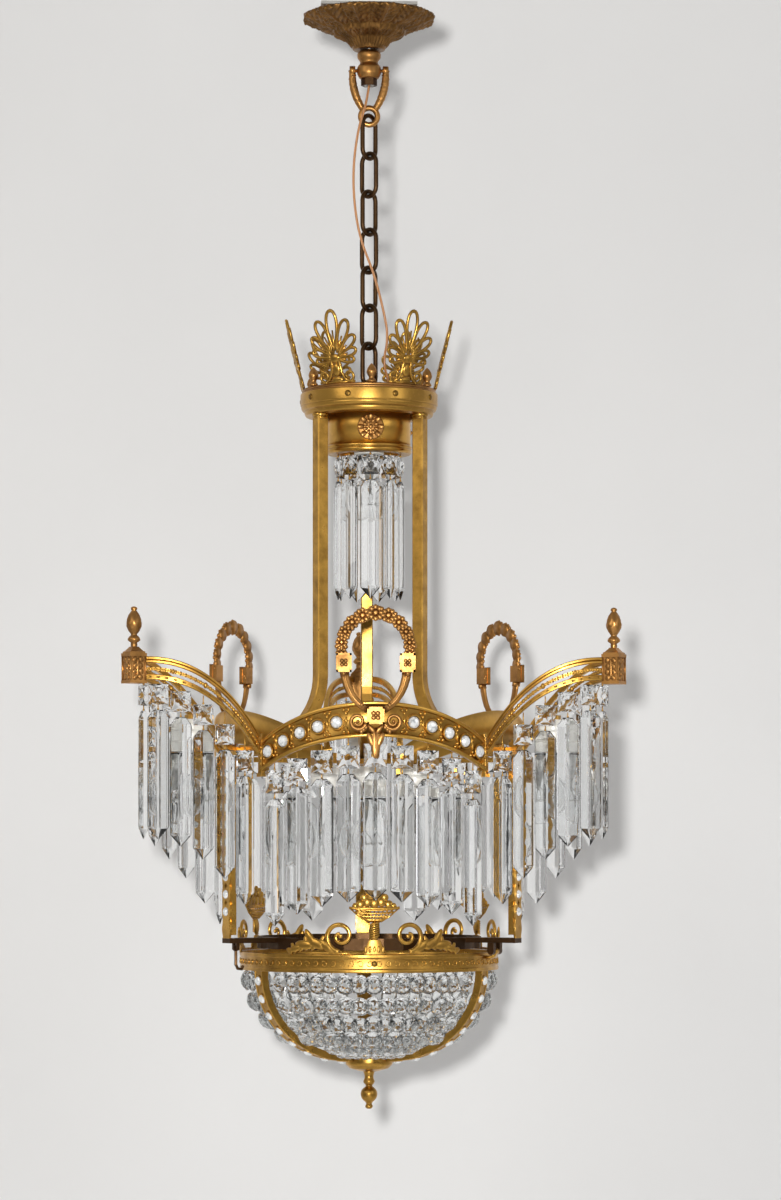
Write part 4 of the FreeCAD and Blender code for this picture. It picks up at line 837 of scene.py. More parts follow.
def arch_piece():
    """Curved band with raised mouldings, small scroll trefoils between the jewel cups."""
    m = Maker()
    steps = 92
    # depth below the edge, radius
    profile = [(0.0, 149.7), (0.0, 154.3), (0.35, 154.65), (3.1, 154.65), (3.5, 154.2), (3.9, 152.6),
               (4.6, 152.0)]
    n = 2 * len(profile)
    verts = []
    for i in range(steps + 1):
        a = -ARCH_HALF + 2 * ARCH_HALF * i / steps
        top, bottom = arch_levels(a)
        verts += [polar(r, 270.0 + a, top - d) for d, r in profile]
        verts += [polar(r, 270.0 + a, bottom + d) for d, r in profile[::-1]]
    faces = []
    for i in range(steps):
        for j in range(n):
            j2 = (j + 1) % n
            faces.append([i * n + j, (i + 1) * n + j, (i + 1) * n + j2, i * n + j2])
    m.add(verts, faces + [cap[::-1] for cap in end_caps(steps + 1, n)])
    spots = [s * ARCH_PITCH * k for s in (1, -1) for k in range(2, 7)]
    cup = lathe(rounded([(5.9, 0), (7.6, 0), (7.6, 1.6), (6.9, 2.2), (6.3, 1.7), (5.9, 0.8)], 0.4), 28)
    for a in spots:
        m.take(cup, front_to(270.0 + a) @ shift((0, -152.4, sum(arch_levels(a)) / 2)) @ spin(90, "X"))
    for s in (1, -1):
        for k in range(2, 7):
            a = s * ARCH_PITCH * (k - 0.5)
            top, bottom = arch_levels(a)
            for up in (1, -1):
                z = (top - 6.8) if up > 0 else (bottom + 6.8)
                place = front_to(270.0 + a) @ shift((0, -152.2, z))
                for dx, dz in ((-2.3, 0.3 * up), (2.3, 0.3 * up), (0, -3.0 * up)):
                    m.take(ball(1.0, (dx, 0, dz), 6, 8, (1.7, 1.5, 1.7)), place)
            place = front_to(270.0 + a) @ shift((0, -152.2, (top + bottom) / 2))
            m.take(ball(1.0, (0, 0, 0), 6, 8, (1.3, 1.4, 4.2)), place)
            m.take(ball(1.0, (0, 0, 0), 6, 8, (2.8, 1.3, 1.1)), place)
    return m, spots


def dome(radius, height, facets=9):
    """Faceted cabochon pointing to +Z."""
    m = Maker()
    rows = [(radius, 0.0), (radius * 0.93, height * 0.45), (radius * 0.62, height * 0.86)]
    verts, faces = [], []
    for q, (r, z) in enumerate(rows):
        for i in range(facets):
            a = 2 * pi * (i + 0.5 * (q % 2)) / facets
            verts.append((r * cos(a), r * sin(a), z))
    verts.append((0, 0, height))
    for q in range(len(rows) - 1):
        for i in range(facets):
            i2 = (i + 1) % facets
            a, b, c, d = q * facets + i, q * facets + i2, (q + 1) * facets + i, (q + 1) * facets + i2
            if q % 2 == 0:
                faces += [[a, b, c], [b, d, c]]
            else:
                faces += [[a, b, d], [a, d, c]]
    last = (len(rows) - 1) * facets
    for i in range(facets):
        faces.append([last + i, last + (i + 1) % facets, len(verts) - 1])
    faces.append(list(range(facets))[::-1])
    m.add(verts, faces, False)
    return m


def arches_and_jewels():
    """Three arches, their jewels and the smaller ones of the corner strips."""
    piece, spots = arch_piece()
    for az, side in FACE_SIDES:
        piece.copies([front_to(az)]).dress("arch_%s" % side, "gilt_satin")
    m = Maker()
    jewel = dome(5.95, 4.4)
    for az in FACES:
        for a in spots:
            m.take(jewel, front_to(az + a) @ shift((0, -151.6, sum(arch_levels(a)) / 2)) @ spin(90, "X"))
    small = dome(4.55, 3.4)
    for az in CORNERS:
        for z in STRIP_JEWELS:
            m.take(small, front_to(az) @ shift((0, -164.4, z)) @ spin(90, "X"))
    m.dress("set_jewels", "jewel")


STRIP_TOP, STRIP_END, STRIP_HALF, STRIP_PITCH = -755.3, -933.0, 7.5, 17.0
STRIP_JEWELS = [STRIP_TOP - 16 - STRIP_PITCH * i for i in range(9)]


def strip_loops():
    """Outline of a pierced strip: scalloped sides and a diamond hole between each pair of jewels."""
    side = []
    n = 120
    for i in range(n + 1):
        z = STRIP_TOP - (STRIP_TOP - STRIP_END) * i / n
        bulge = cos(2 * pi * (STRIP_JEWELS[0] - z) / STRIP_PITCH)
        side.append((STRIP_HALF - 0.9 + 0.75 * bulge, z))
    loops = [side + [(-x, z) for x, z in side[::-1]]]
    for i in range(len(STRIP_JEWELS) - 1):
        zc = STRIP_JEWELS[0] - STRIP_PITCH * (i + 0.5)
        loops.append([(0, zc + 3.6), (2.7, zc), (0, zc - 3.6), (-2.7, zc)])
    return loops


def strips():
    """Pierced strips below the corner arms: plate, jewel cups, beading and two webs."""
    one = Maker()
    one.take(outline_sheet(strip_loops(), 1.9), shift((0, -163.1, 0)))
    cup = lathe(rounded([(4.5, 0), (6.0, 0), (6.0, 1.1), (5.4, 1.5), (4.6, 1.0)], 0.3), 24)
    for z in STRIP_JEWELS:
        one.take(cup, shift((0, -163.6, z)) @ spin(90, "X"))
        for sx in (1, -1):
            for k in range(5):
                one.take(ball(0.8, (sx * 6.2, -164.5, z - 8.5 + (k - 2) * 3.4), 4, 6))
    for x0, x1 in ((5.6, 7.3), (-7.3, -5.6)):
        flat = ((x0, -163.2), (x1, -163.2), (x1, -157.6), (x0, -157.6))
        one.add([(x, y, z) for z in (STRIP_END + 3, STRIP_TOP - 3) for x, y in flat], BOX_FACES, False)
    one.copies(front_to(az) for az in CORNERS).dress("jewelled_strips", "gilt")


# an arm's side in plan: radius, tip and root (u outward, v to the left)
GRILLE_R, TIP_U, TIP_V, END_U, END_V = 136.5, 257.75, 7.5, 147.5, 36.8
# top, drop, width and height of an arm's three bars
GRILLE_BARS = ((-661.0, 79.0, 5.0, 6.5), (-670.5, 77.0, 3.5, 5.0), (-678.0, 75.0, 5.0, 5.5))
BLOCK_U = 267.0


def lobe_point(share):
    """Plan point (u, v) and outward normal on one side of an arm; share 0 at the root."""
    p0, p1 = Vector((END_U, END_V, 0)), Vector((TIP_U, TIP_V, 0))
    chord = p1 - p0
    half = chord.length / 2
    out = Vector((-chord.y, chord.x, 0)).normalized()
    centre = (p0 + p1) * 0.5 - out * sqrt(GRILLE_R ** 2 - half ** 2)
    a0 = atan2(p0.y - centre.y, p0.x - centre.x)
    a1 = atan2(p1.y - centre.y, p1.x - centre.x)
    a = a0 + (a1 - a0) * share
    normal = Vector((cos(a), sin(a), 0))
    return centre + normal * GRILLE_R, normal


def arm_path(top, drop, start, end, steps, sign, out=0.0):
    """Points and outward normals of a swept bar of an arm."""
    points, normals = [], []
    for i in range(steps + 1):
        s = start + (end - start) * i / steps
        p, n = lobe_point(s)
        q = p + n * out
        points.append(Vector((q.x, sign * q.y, top - drop * (1 - s) ** 2.2)))
        normals.append(Vector((n.x, sign * n.y, 0)))
    return points, normals


def islands(node):
    """Corner points of each separate solid of a carried-over node, in millimetres."""
    bm = bmesh.new()
    bm.from_mesh(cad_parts[node].data)
    bmesh.ops.remove_doubles(bm, verts=bm.verts, dist=0.00002)
    bm.verts.ensure_lookup_table()
    seen, out = set(), []
    for v in bm.verts:
        if v.index in seen:
            continue
        stack, group = [v], []
        seen.add(v.index)
        while stack:
            w = stack.pop()
            group.append(w.co / MM)
            for e in w.link_edges:
                o = e.other_vert(w)
                if o.index not in seen:
                    seen.add(o.index)
                    stack.append(o)
        out.append(group)
    bm.free()
    return out


def hanging_place(points):
    """Top centre, facing matrix, width and height of a pendant that hangs in the CAD."""
    top, low = max(p.z for p in points), min(p.z for p in points)
    far, pair = 0.0, None
    for a in points:
        for b in points:
            d = (a.xy - b.xy).length
            if d > far:
                far, pair = d, (a, b)
    along = (pair[1].xy - pair[0].xy).normalized()
    centre = (pair[1].xy + pair[0].xy) / 2
    normal = Vector((along.y, -along.x))
    if normal.dot(centre) < 0:
        normal = -normal
    az = degrees(atan2(normal.y, normal.x))
    return shift((centre.x, centre.y, top)) @ front_to(az), far, top - low


def cut_prism(width, thick, height):
    """Cut drop: shouldered and drilled head, ridged and bevelled body, wedge foot; faces -Y."""
    h, t = width / 2 - 0.15, thick / 2 - 0.1
    rows = ((0.0, 0.42, 0.45), (-1.2, 0.55, 0.62), (-7.0, 0.97, 0.97), (-9.0, 1.0, 1.0),
            (13.0 - height, 1.0, 1.0), (10.8 - height, 0.97, 0.94), (1.4 - height, 0.16, 0.2),
            (0.15 - height, 0.08, 0.1))
    section = ((-1.0, 0.10), (-1.0, -0.10), (-0.86, -0.34), (-0.14, -0.96), (0.14, -0.96), (0.86, -0.34),
               (1.0, -0.10), (1.0, 0.10), (0.86, 0.34), (0.14, 0.96), (-0.14, 0.96), (-0.86, 0.34))
    verts = [(x * h * sx, y * t * sy, z) for z, sx, sy in rows for x, y in section]
    m = Maker()
    m.add(verts, tube_faces(len(rows), len(section)) + end_caps(len(rows), len(section)), False)
    return m


def star_bead(half, thick, corners=4):
    """Flat bead cut to a star of facets round a small table; faces -Y, centre at the origin."""
    m = Maker()
    n = corners * 2
    reach = half / cos(pi / corners) if corners == 4 else half
    rim = []
    for i in range(n):
        a = radians(45.0) + 2 * pi * i / n if corners == 4 else 2 * pi * (i + 0.5) / n
        r = reach * (0.985 if i % 2 == 0 else cos(pi / corners)) if corners == 4 else reach
        rim.append((r * cos(a), r * sin(a)))
    girdle = thick * 0.07
    verts = []
    for side in (-1, 1):
        verts += [(x, side * girdle, z) for x, z in rim]
        for share, depth in ((0.62, 0.70), (0.30, 0.97)):
            for i in range(n):
                a = atan2(rim[i][1], rim[i][0]) + pi / n
                r = half * share
                verts.append((r * cos(a), side * thick / 2 * depth, r * sin(a)))
    faces = []
    for s in range(2):
        b = s * 3 * n
        for q in range(2):
            for i in range(n):
                i2 = (i + 1) % n
                a0, a1 = b + q * n + i, b + q * n + i2
                c0, c1 = b + (q + 1) * n + i, b + (q + 1) * n + i2
                faces += [[a0, a1, c0], [a1, c1, c0]]
        faces.append([b + 2 * n + i for i in range(n)])
    for i in range(n):
        i2 = (i + 1) % n
        faces.append([i, i2, 3 * n + i2, 3 * n + i])
    m.add(verts, faces, False)
    return m


def pendants():
    """All hanging crystal: square beads above long cut prisms, and their wire pins."""
    for node in ("arch_prisms", "lobe_prisms", "upper_prisms"):
        m = Maker()
        for group in islands(node):
            place, width, height = hanging_place(group)
            m.take(cut_prism(width, 9.0, height), place)
        m.dress(node, "crystal", weld=False)
    for node in ("arch_beads", "lobe_beads", "upper_beads"):
        m = Maker()
        for group in islands(node):
            place, _, height = hanging_place(group)
            m.take(star_bead(height / 2 - 0.1, 8.8), place @ shift((0, 0, -height / 2)))
        m.dress(node, "crystal", weld=False)
    m = Maker()
    for group in islands("pendant_pins"):
        top, low = max(p.z for p in group), min(p.z for p in group)
        c = sum(group, Vector()) / len(group)
        hook = [Vector((c.x, c.y, z)) for z in (top + 0.2, (top + low) / 2, low - 0.2)]
        m.take(bar(hook, 0.55, 6))
        m.take(ball(1.15, (c.x, c.y, low + 0.9), 5, 8))
    m.dress("pendant_pins", "gilt_satin", weld=False)


def corner_arms():
    """Swept grilles of three bars, each a different casting, with rope bead and drilled band."""
    arm = Maker()
    for level, (top, drop, w, h) in enumerate(GRILLE_BARS):
        x, b = w / 2 - 0.1, 0.9
        below = [(-x, -h + b), (-x + b, -h + 0.1), (x - b, -h + 0.1), (x, -h + b)]
        above = [(x, -b), (x - b, -0.05), (-x + b, -0.05), (-x, -b)]
        section = (
            below + [(x, -h * 0.62), (x - 0.9, -h * 0.5), (x, -h * 0.38)] + above,
            [(-x * 0.6, -h * 0.8), (x * 0.6, -h * 0.8), (x * 0.6, -h * 0.2), (-x * 0.6, -h * 0.2)],
            below + [(x, -h * 0.70), (x - 0.5, -h * 0.66), (x - 0.5, -h * 0.30), (x, -h * 0.26)] + above,
        )[level]
        for sign in (1, -1):
            points, normals = arm_path(top, drop, 0.03, 0.995, 44, sign)
            arm.take(section_bar(points, section, [(n, UP) for n in normals]))
            if level != 1:
                continue
            # rope of beads on the middle bar, with three larger ones
            for q, p in enumerate(arm_path(top, drop, 0.04, 0.985, 46, sign)[0]):
                fat = 1.0 if q % 2 else 0.86
                lift = 2.9 if q in (10, 23, 36) else 2.15
                arm.take(ball(lift * fat, (p.x, p.y, p.z - h / 2), 6, 10, (0.8, 0.8, 1.0)))
    for az, side in CORNER_SIDES:
        arm.copies([turn(az)]).dress("grille_%s" % side, "gilt")
    rims = Maker()
    rim = lathe([(0, 0.0), (1.15, 0.0), (1.5, 0.25), (1.75, 0.1), (1.75, -0.4)], 14)
    top, drop, w, h = GRILLE_BARS[2]
    for sign in (1, -1):
        points, normals = arm_path(top, drop, 0.06, 0.97, 13, sign, 2.05)
        for p, n in zip(points, normals):
            face = front_to(degrees(atan2(n.y, n.x))) @ spin(90, "X")
            rims.take(rim, shift((p.x, p.y, p.z - h / 2)) @ face)
    rims.copies(turn(az) for az in CORNERS).build("grille_drill_holes", finish("umber"), "frame")


def corner_blocks():
    """Square blocks at the arms' tips, with bands, carved leaves and corner beads."""
    block = Maker()
    w, top, low = 18.5, -658.0, -687.0
    h = w / 2 - 0.1
    square = ((-1, -1), (1, -1), (1, 1), (-1, 1))
    # low, high and half width of the core and of the two bands
    for z0, z1, half in ((low + 0.6, top - 0.6, h - 1.2), (low, low + 3.0, h), (top - 3.2, top, h)):
        verts = [(BLOCK_U + sx * half, sy * half, z) for z in (z0, z1) for sx, sy in square]
        block.add(verts, BOX_FACES, False)
    relief = Maker()
    leaf = ball(1.0, (0, 0, 0), 6, 10, (0.95, 2.4, 3.0))
    for sx in (1, -1):
        for q in range(4):
            at = (h - 1.0, sx * (2.7 + 0.8 * (q % 2)), low + 6.0 + 5.6 * q)
            relief.take(leaf, shift(at) @ spin(sx * 28, "X"))
        edge = sx * (h - 0.9)
        relief.take(bar([(h - 0.9, edge, low + 2.5), (h - 0.9, edge, top - 2.5)], 0.9, 8))
    relief.take(ball(1.0, (h - 1.1, 0, (top + low) / 2), 6, 10, (1.1, 2.1, 10.0)))
    for face in (0.0, 90.0, 270.0):
        block.take(relief, shift((BLOCK_U, 0, 0)) @ spin(face, "Z"))
    block.copies(turn(az) for az in CORNERS).dress("corner_blocks", "rose")


def flames():
    """Flame finials: squat vase on a pyramid foot, twisted tongues and a ball tip."""
    top = -658.0
    profile = ((3.0, 6.0), (3.3, 8.0), (3.0, 10.0), (5.9, 12.0), (6.2, 13.6), (5.0, 15.6), (2.9, 17.4),
               (3.2, 18.6), (5.6, 21.5), (7.4, 25.5), (7.9, 28.5), (7.2, 32.5), (5.6, 36.5), (3.6, 39.5),
               (2.3, 41.0), (3.2, 42.4), (3.0, 43.8), (1.4, 44.8), (0.05, 45.0))
    steps = 40
    verts = []
    for r, z in profile:
        twist = radians(max(0.0, z - 18) * 5.0)
        depth = 0.16 if 20 < z < 41 else 0.0
        for i in range(steps):
            a = 2 * pi * i / steps
            rr = r * (1 - depth + depth * abs(cos(3 * (a + twist))))
            verts.append((rr * cos(a), rr * sin(a), top + z))
    one = Maker()
    one.add(verts, tube_faces(len(profile), steps))
    foot = [(8.0, 0), (8.0, 1.4), (6.4, 2.4), (4.2, 5.0), (3.4, 6.2)]
    verts = [(sx * r, sy * r, top + z) for r, z in foot for sx, sy in ((-1, -1), (1, -1), (1, 1), (-1, 1))]
    one.add(verts, tube_faces(len(foot), 4) + end_caps(len(foot), 4), False)
    one.copies(turn(az) @ shift((BLOCK_U, 0, 0)) for az in CORNERS).dress("flame_finials", "rose")


def junction_castings():
    """Stepped boxes at the roots of the arms, with side scrolls and a small stepped cap."""
    u0, u1, v0, v1 = 139.1, 149.9, 32.9, 41.7
    one = Maker()
    # low, high and inset of each step
    for z0, z1, g in ((-776, -772.5, 0.0), (-772.5, -744.5, 1.0), (-744.5, -740, 0.0), (-740, -737.5, 1.6),
                      (-737.5, -734.2, 2.9)):
        plan = ((u0 + g, v0 + g), (u1 - g, v0 + g), (u1 - g, v1 - g), (u0 + g, v1 - g))
        one.add([(u, v, z) for z in (z0, z1) for u, v in plan], BOX_FACES, False)
    for k in range(5):
        z, slim = -768.5 + 5.2 * k, 0.25 * abs(k - 2)
        one.take(ball(1.0, (u1 - 1.0, (v0 + v1) / 2, z), 6, 10, (1.0, 2.6 - slim, 2.3)))
        one.take(ball(1.0, ((u0 + u1) / 2, v1 - 1.0, z), 6, 10, (3.0 - slim, 1.0, 2.3)))
    mirror = Matrix.Scale(-1, 4, DEPTH)
    m = Maker()
    for az in CORNERS:
        m.take(one, turn(az))
        m.take(one, turn(az) @ mirror)
    m.dress("junction_castings", "gilt", bevel=0.35)


# ------------------------------------------------------------------ wreaths
def floret(radius, petals=8):
    """Small cast rose facing -Y, back at y=0: open cup of petals round a ringed button."""
    m = Maker()
    m.take(bar(hoop(radius * 0.80, 0.0, 20, -1.4), radius * 0.12, 6, closed=True, up=DEPTH))
    petal = ball(1.0, (0, 0, 0), 6, 8, (radius * 0.29, radius * 0.15, radius * 0.33))
    for i in range(petals):
        a = 2 * pi * i / petals
        m.take(petal, shift((radius * 0.66 * cos(a), -2.7, radius * 0.66 * sin(a)))
               @ Matrix.Rotation(-a + pi / 2, 4, "Y"))
    back = lathe([(0, 0.0), (radius * 0.86, 0.0), (radius * 0.86, 1.5), (0, 1.9)], 18)
    m.take(back, spin(90, "X"))
    hub = lathe(rounded([(0, 4.8), (radius * 0.20, 4.7), (radius * 0.30, 3.9), (radius * 0.34, 2.9),
                         (radius * 0.42, 2.5), (radius * 0.42, 1.6), (0, 1.6)], 0.3), 14)
    m.take(hub, spin(90, "X"))
    return m


def wreath_casting():
    """Rose garland, square bosses, fluted legs, flower plaque, C-scrolls and a leaf drop."""
    # the garland is an oval of half axes wide and tall about the point (0, top)
    back, top, wide, tall = -154.7, -654.0, 33.0, 34
    m = Maker()

    def garland(t, y, off=0.0):
        a = radians(90 - t)
        return ((wide + off) * cos(a), y, top + (tall + off) * sin(a))

    def slab_at(x0, x1, z0, z1, y0, y1):
        verts = [(x, y, z) for z in (z0, z1) for x, y in ((x0, y1), (x1, y1), (x1, y0), (x0, y0))]
        m.add(verts, BOX_FACES, False)

    # florets shrink from the top down both sides, with small buds between them
    t = 0.0
    while t < 124.0:
        r = 8.3 - 0.024 * t
        rose = floret(r)
        for sx in (1, -1) if t else (1,):
            m.take(rose, shift(garland(sx * t, back - 0.1)))
            for off in (4.2, -4.4):
                bud_at = garland(sx * (t + 0.4 * degrees(1.6 * r / 33.5)), back - 2.4, off)
                m.take(ball(1.0, bud_at, 6, 8, (2.3, 1.6, 2.3)))
        t += degrees(1.56 * r / 33.5)
    m.take(bar([garland(t, back - 1.5) for t in range(-125, 126, 5)], 5.0, 8, up=DEPTH, flat=0.27))
    leg_line = ((30, -676), (29, -683), (27, -690), (24, -697), (20, -703), (14, -709), (7.6, -713.6))
    for sx in (1, -1):
        c = sx * 30.5
        slab_at(c - 6.6, c + 6.6, -676.2, -659.8, back - 5.6, back)
        for x0, x1, z0, z1 in ((-7.4, -5.4, -677, -659), (5.4, 7.4, -677, -659), (-7.4, 7.4, -677, -674.8),
                               (-7.4, 7.4, -661.2, -659)):
            slab_at(c + x0, c + x1, z0, z1, back - 7.9, back - 4.6)
        for q in range(4):
            a = radians(45 + 90 * q)
            m.take(ball(1.0, (c + 2.6 * cos(a), back - 6.0, -668 + 2.6 * sin(a)), 6, 8, (2.0, 1.1, 2.0)))
        m.take(ball(1.5, (c, back - 7.0, -668), 6, 10))
        leg = [Vector((sx * x, back - 2.9, z)) for x, z in leg_line]
        for off, fat in ((-2.9, 1.15), (0.0, 1.5), (2.9, 1.15)):
            line = []
            for q, p in enumerate(leg):
                a, b = leg[max(0, q - 1)], leg[min(len(leg) - 1, q + 1)]
                d = (b - a).normalized()
                n = Vector((-d.z, 0, d.x))
                shrink = 1.0 - 0.45 * q / (len(leg) - 1)
                line.append(p + n * off * shrink + Vector((0, -0.9 if off == 0 else 0, 0)))
            m.take(bar(line, lambda s, fat=fat: fat * (1.15 - 0.4 * s), 8, up=DEPTH))
        m.take(bar(leg, lambda s: 5.0 - 1.9 * s, 8, up=DEPTH, flat=0.42))
        m.take(bar([(sx * 31.2, back - 2.9, -676), (sx * 30.2, back - 2.9, -680.5)], 4.7, 12, flat=0.6))
        m.take(bar([leg[5] + Vector((-sx * 2.4, 0, 2.2)), leg[5] + Vector((sx * 1.0, 0, -1.0))], 3.2, 10,
                   flat=0.7))
        curl = []
        for q in range(34):
            s = q / 33.0
            a = radians(-170 + 520 * s)
            r = 8.4 - 5.6 * s
            curl.append(Vector((sx * (17 + r * cos(a)), back - 2.3 - 0.8 * s, -724 + r * sin(a))))
        m.take(bar(curl, lambda s: 2.3 - 1.0 * s, 8, up=DEPTH))
        m.take(ball(1.7, (sx * 17, back - 3.4, -724), 6, 10))
        for q in range(3):
            m.take(ball(1.0, (sx * (9.2 + 2.2 * q), back - 3.0, -729.5 - 2.0 * q), 6, 8, (2.0, 1.1, 2.6)))
        m.take(bar([(sx * 8.3, back - 2.6, -727), (sx * 12.5, back - 2.4, -731),
                    (sx * 17, back - 2.2, -732.2)], 1.3, 8, up=DEPTH))
    # plaque with a four-petalled flower
    slab_at(-7.2, 7.2, -725.8, -711.2, back - 6.6, back)
    for x0, x1, z0, z1 in ((-8.2, -6.3, -726.7, -710.4), (6.3, 8.2, -726.7, -710.4),
                           (-8.2, 8.2, -726.7, -724.8), (-8.2, 8.2, -712.3, -710.4)):
        slab_at(x0, x1, z0, z1, back - 8.7, back - 6.0)
    for q in range(4):
        a = radians(45 + 90 * q)
        m.take(ball(1.0, (3.0 * cos(a), back - 6.9, -718.5 + 3.0 * sin(a)), 6, 10, (2.4, 1.2, 2.4)))
    m.take(ball(1.6, (0, back - 7.4, -718.5), 6, 10))
    # leaf drop with five lobes
    y = back - 2.6
    for x, z, r, long, tilt in ((0, -746, 4.6, 14.0, 0), (4.4, -742, 3.2, 8.2, 22),
                                (-4.4, -742, 3.2, 8.2, -22), (3.6, -731.5, 2.4, 5.5, 40),
                                (-3.6, -731.5, 2.4, 5.5, -40)):
        m.take(ball(1.0, (0, 0, 0), 8, 12, (r, 1.5, long)), shift((x, y, z)) @ spin(tilt, "Y"))
    m.take(bar([(0, y - 1.2, -730), (0, y - 1.6, -745), (0, y - 0.5, -759)], lambda s: 0.9 - 0.5 * s, 6))
    return m


def wreaths():
    """One wreath on the front of each arch."""
    casting = wreath_casting()
    for az, side in FACE_SIDES:
        casting.copies([front_to(az)]).dress("wreath_%s" % side, "rose")


# ------------------------------------------------------------------ lamps
def lamps():
    """Clear globe lamps with press, stem and filament, in white sockets on brass cups."""
    glass, sockets, stems = Maker(), Maker(), Maker()
    # centre, radius, neck, lift of the neck, radius and height of the socket
    sets = [(polar(r, az, z), 27.3, 12.0, 43.0, 15.0, 32.0)
            for r, z in ((203.0, -795.0), (52.0, -837.0)) for az in CORNERS]
    sets.append((Vector((0, 0, -498.0)), 21.8, 11.0, 46.0, 15.0, 30.0))
    for c, r, neck, lift, cup, tall in sets:
        low = c.z + lift
        axis = shift((c.x, c.y, 0))
        outer = [(0.05, c.z - r)]
        for q in range(1, 15):
            a = radians(-90 + 10.3 * q)
            outer.append((r * cos(a), c.z + r * sin(a)))
        rim_r, rim_z = outer[-1]
        for s in (0.2, 0.45, 0.7, 1.0):
            ease = s * s * (3 - 2 * s)
            outer.append((rim_r + (neck - 0.2 - rim_r) * ease, rim_z + (low - 1 - rim_z) * s))
        inner = [(max(0.04, x - 0.7), z + (0.7 if z < c.z else 0.0)) for x, z in outer][::-1]
        glass.take(lathe(outer + inner + [outer[0]], 40), axis)
        wide, slim = cup - 0.1, cup - 1.4
        body = [(0.1, low), (wide, low), (wide, low + tall * 0.30), (slim, low + tall * 0.34),
                (slim, low + tall * 0.62), (wide, low + tall * 0.66), (wide, low + tall - 5.2),
                (cup - 4, low + tall - 0.1), (0.1, low + tall - 0.1)]
        sockets.take(lathe(rounded(body, 1.2), 40), axis)
        stems.take(lathe([(0.1, c.z + 6), (1.5, c.z + 7), (2.2, c.z + 12), (4.4, c.z + 24), (6.0, low - 2),
                          (0.1, low - 2)], 16), axis)
        for q in range(4):
            a = radians(45 + 90 * q)
            x, y = cos(a), sin(a)
            wire = [c + Vector((reach * x, reach * y, z)) for reach, z in ((1.2, 10), (7.5, 1), (8.2, -4))]
            stems.take(bar(wire, 0.35, 5))
        loop = []
        for q in range(24):
            a = 2 * pi * q / 24
            loop.append(c + Vector((8.2 * cos(a), 8.2 * sin(a), -4 + 1.2 * sin(6 * a))))
        stems.take(bar(loop, 0.35, 5, closed=True))
    glass.dress("lamp_bulbs", "lamp")
    sockets.dress("lamp_sockets", "porcelain")
    stems.build("lamp_stems", finish("filament"), "frame")


def dressed_copy(node, look, body="frame", bevel=0.5):
    """Softly bevelled casting over a plain bar or plate of the CAD."""
    bm = bmesh.new()
    bm.from_mesh(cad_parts[node].data)
    bmesh.ops.remove_doubles(bm, verts=bm.verts, dist=0.00001)
    bmesh.ops.dissolve_limit(bm, angle_limit=radians(1.0), verts=bm.verts, edges=bm.edges)
    mesh = bpy.data.meshes.new(node)
    bm.to_mesh(mesh)
    bm.free()
    m = Maker()
    m.add([v.co / MM for v in mesh.vertices], [p.vertices for p in mesh.polygons], False)
    bpy.data.meshes.remove(mesh)
    m.dress(node, look, body, bevel=bevel, angle=30.0)


# ------------------------------------------------------------------ bowl
BOWL_R, BOWL_TOP, BOWL_WIDE, BOWL_DEEP = 24.0, -966.0, 105.0, 91.5


def bowl_point(t):
    """Point and outward normal of the bowl, t radians below its edge, in the XZ plane."""
    at = Vector((BOWL_R + BOWL_WIDE * cos(t), 0, BOWL_TOP - BOWL_DEEP * sin(t)))
    return at, Vector((cos(t) / BOWL_WIDE, 0, -sin(t) / BOWL_DEEP)).normalized()


def bowl_normal(r, z):
    """Outward normal in the XZ plane at a point of the bowl."""
    n = Vector(((r - BOWL_R) / BOWL_WIDE ** 2, 0, (z - BOWL_TOP) / BOWL_DEEP ** 2))
    return n.normalized()


def tilt_to(n):
    """Turns +Z to a normal of the XZ plane."""
    return Matrix.Rotation(radians(90) + atan2(-n.z, n.x), 4, "Y")


def bowl_ring():
    """Ring with a running scroll in low relief, its hinge tab and three screws."""
    m = Maker()
    profile = [(126.1, -965.9), (129.3, -965.9), (129.45, -965), (129.45, -962.8), (128.7, -962.0),
               (128.7, -952.2), (129.45, -951.4), (129.45, -949), (129.3, -948.1), (126.1, -948.1),
               (126.1, -965.9)]
    m.take(lathe(rounded(profile, 0.4), 192))
    waves = 90
    for i in range(waves):
        up = 1 if i % 2 else -1
        line = []
        for q in range(13):
            s = q / 12.0
            a = up * radians(-150 + 330 * s)
            r = 3.3 - 1.9 * s
            line.append(Vector((r * cos(a), -128.95, -957.1 + up * 0.5 + r * sin(a))))
        m.take(bar(line, lambda s: 0.62 - 0.25 * s, 5, up=DEPTH), front_to(360.0 * i / waves))
    tab = Maker()
    tab.take(bar([(0, y, 0) for y in (-4.0, 4.0)], 3.3, 16, up=UP), shift((139.5, 0, -946.5)))
    tab.take(bar([(129.0, 0, -952.4), (134, 0, -952.4), (138.4, 0, -951.2), (139.5, 0, -948.5)], 1.8, 10,
                 up=DEPTH, flat=2.0))
    m.take(tab, turn(CORNERS[1]))
    m.dress("bowl_ring", "gilt", "bowl")
    head = lathe([(0.05, 1.35), (1.5, 1.25), (2.5, 0.8), (3.0, 0.0), (3.0, -0.6), (0.05, -0.6)], 24)
    seat = shift((0, -129.2, -957)) @ spin(90, "X")
    head.copies(front_to(az) @ seat for az in FACES).build("bowl_ring_screws", finish("umber"), "bowl")


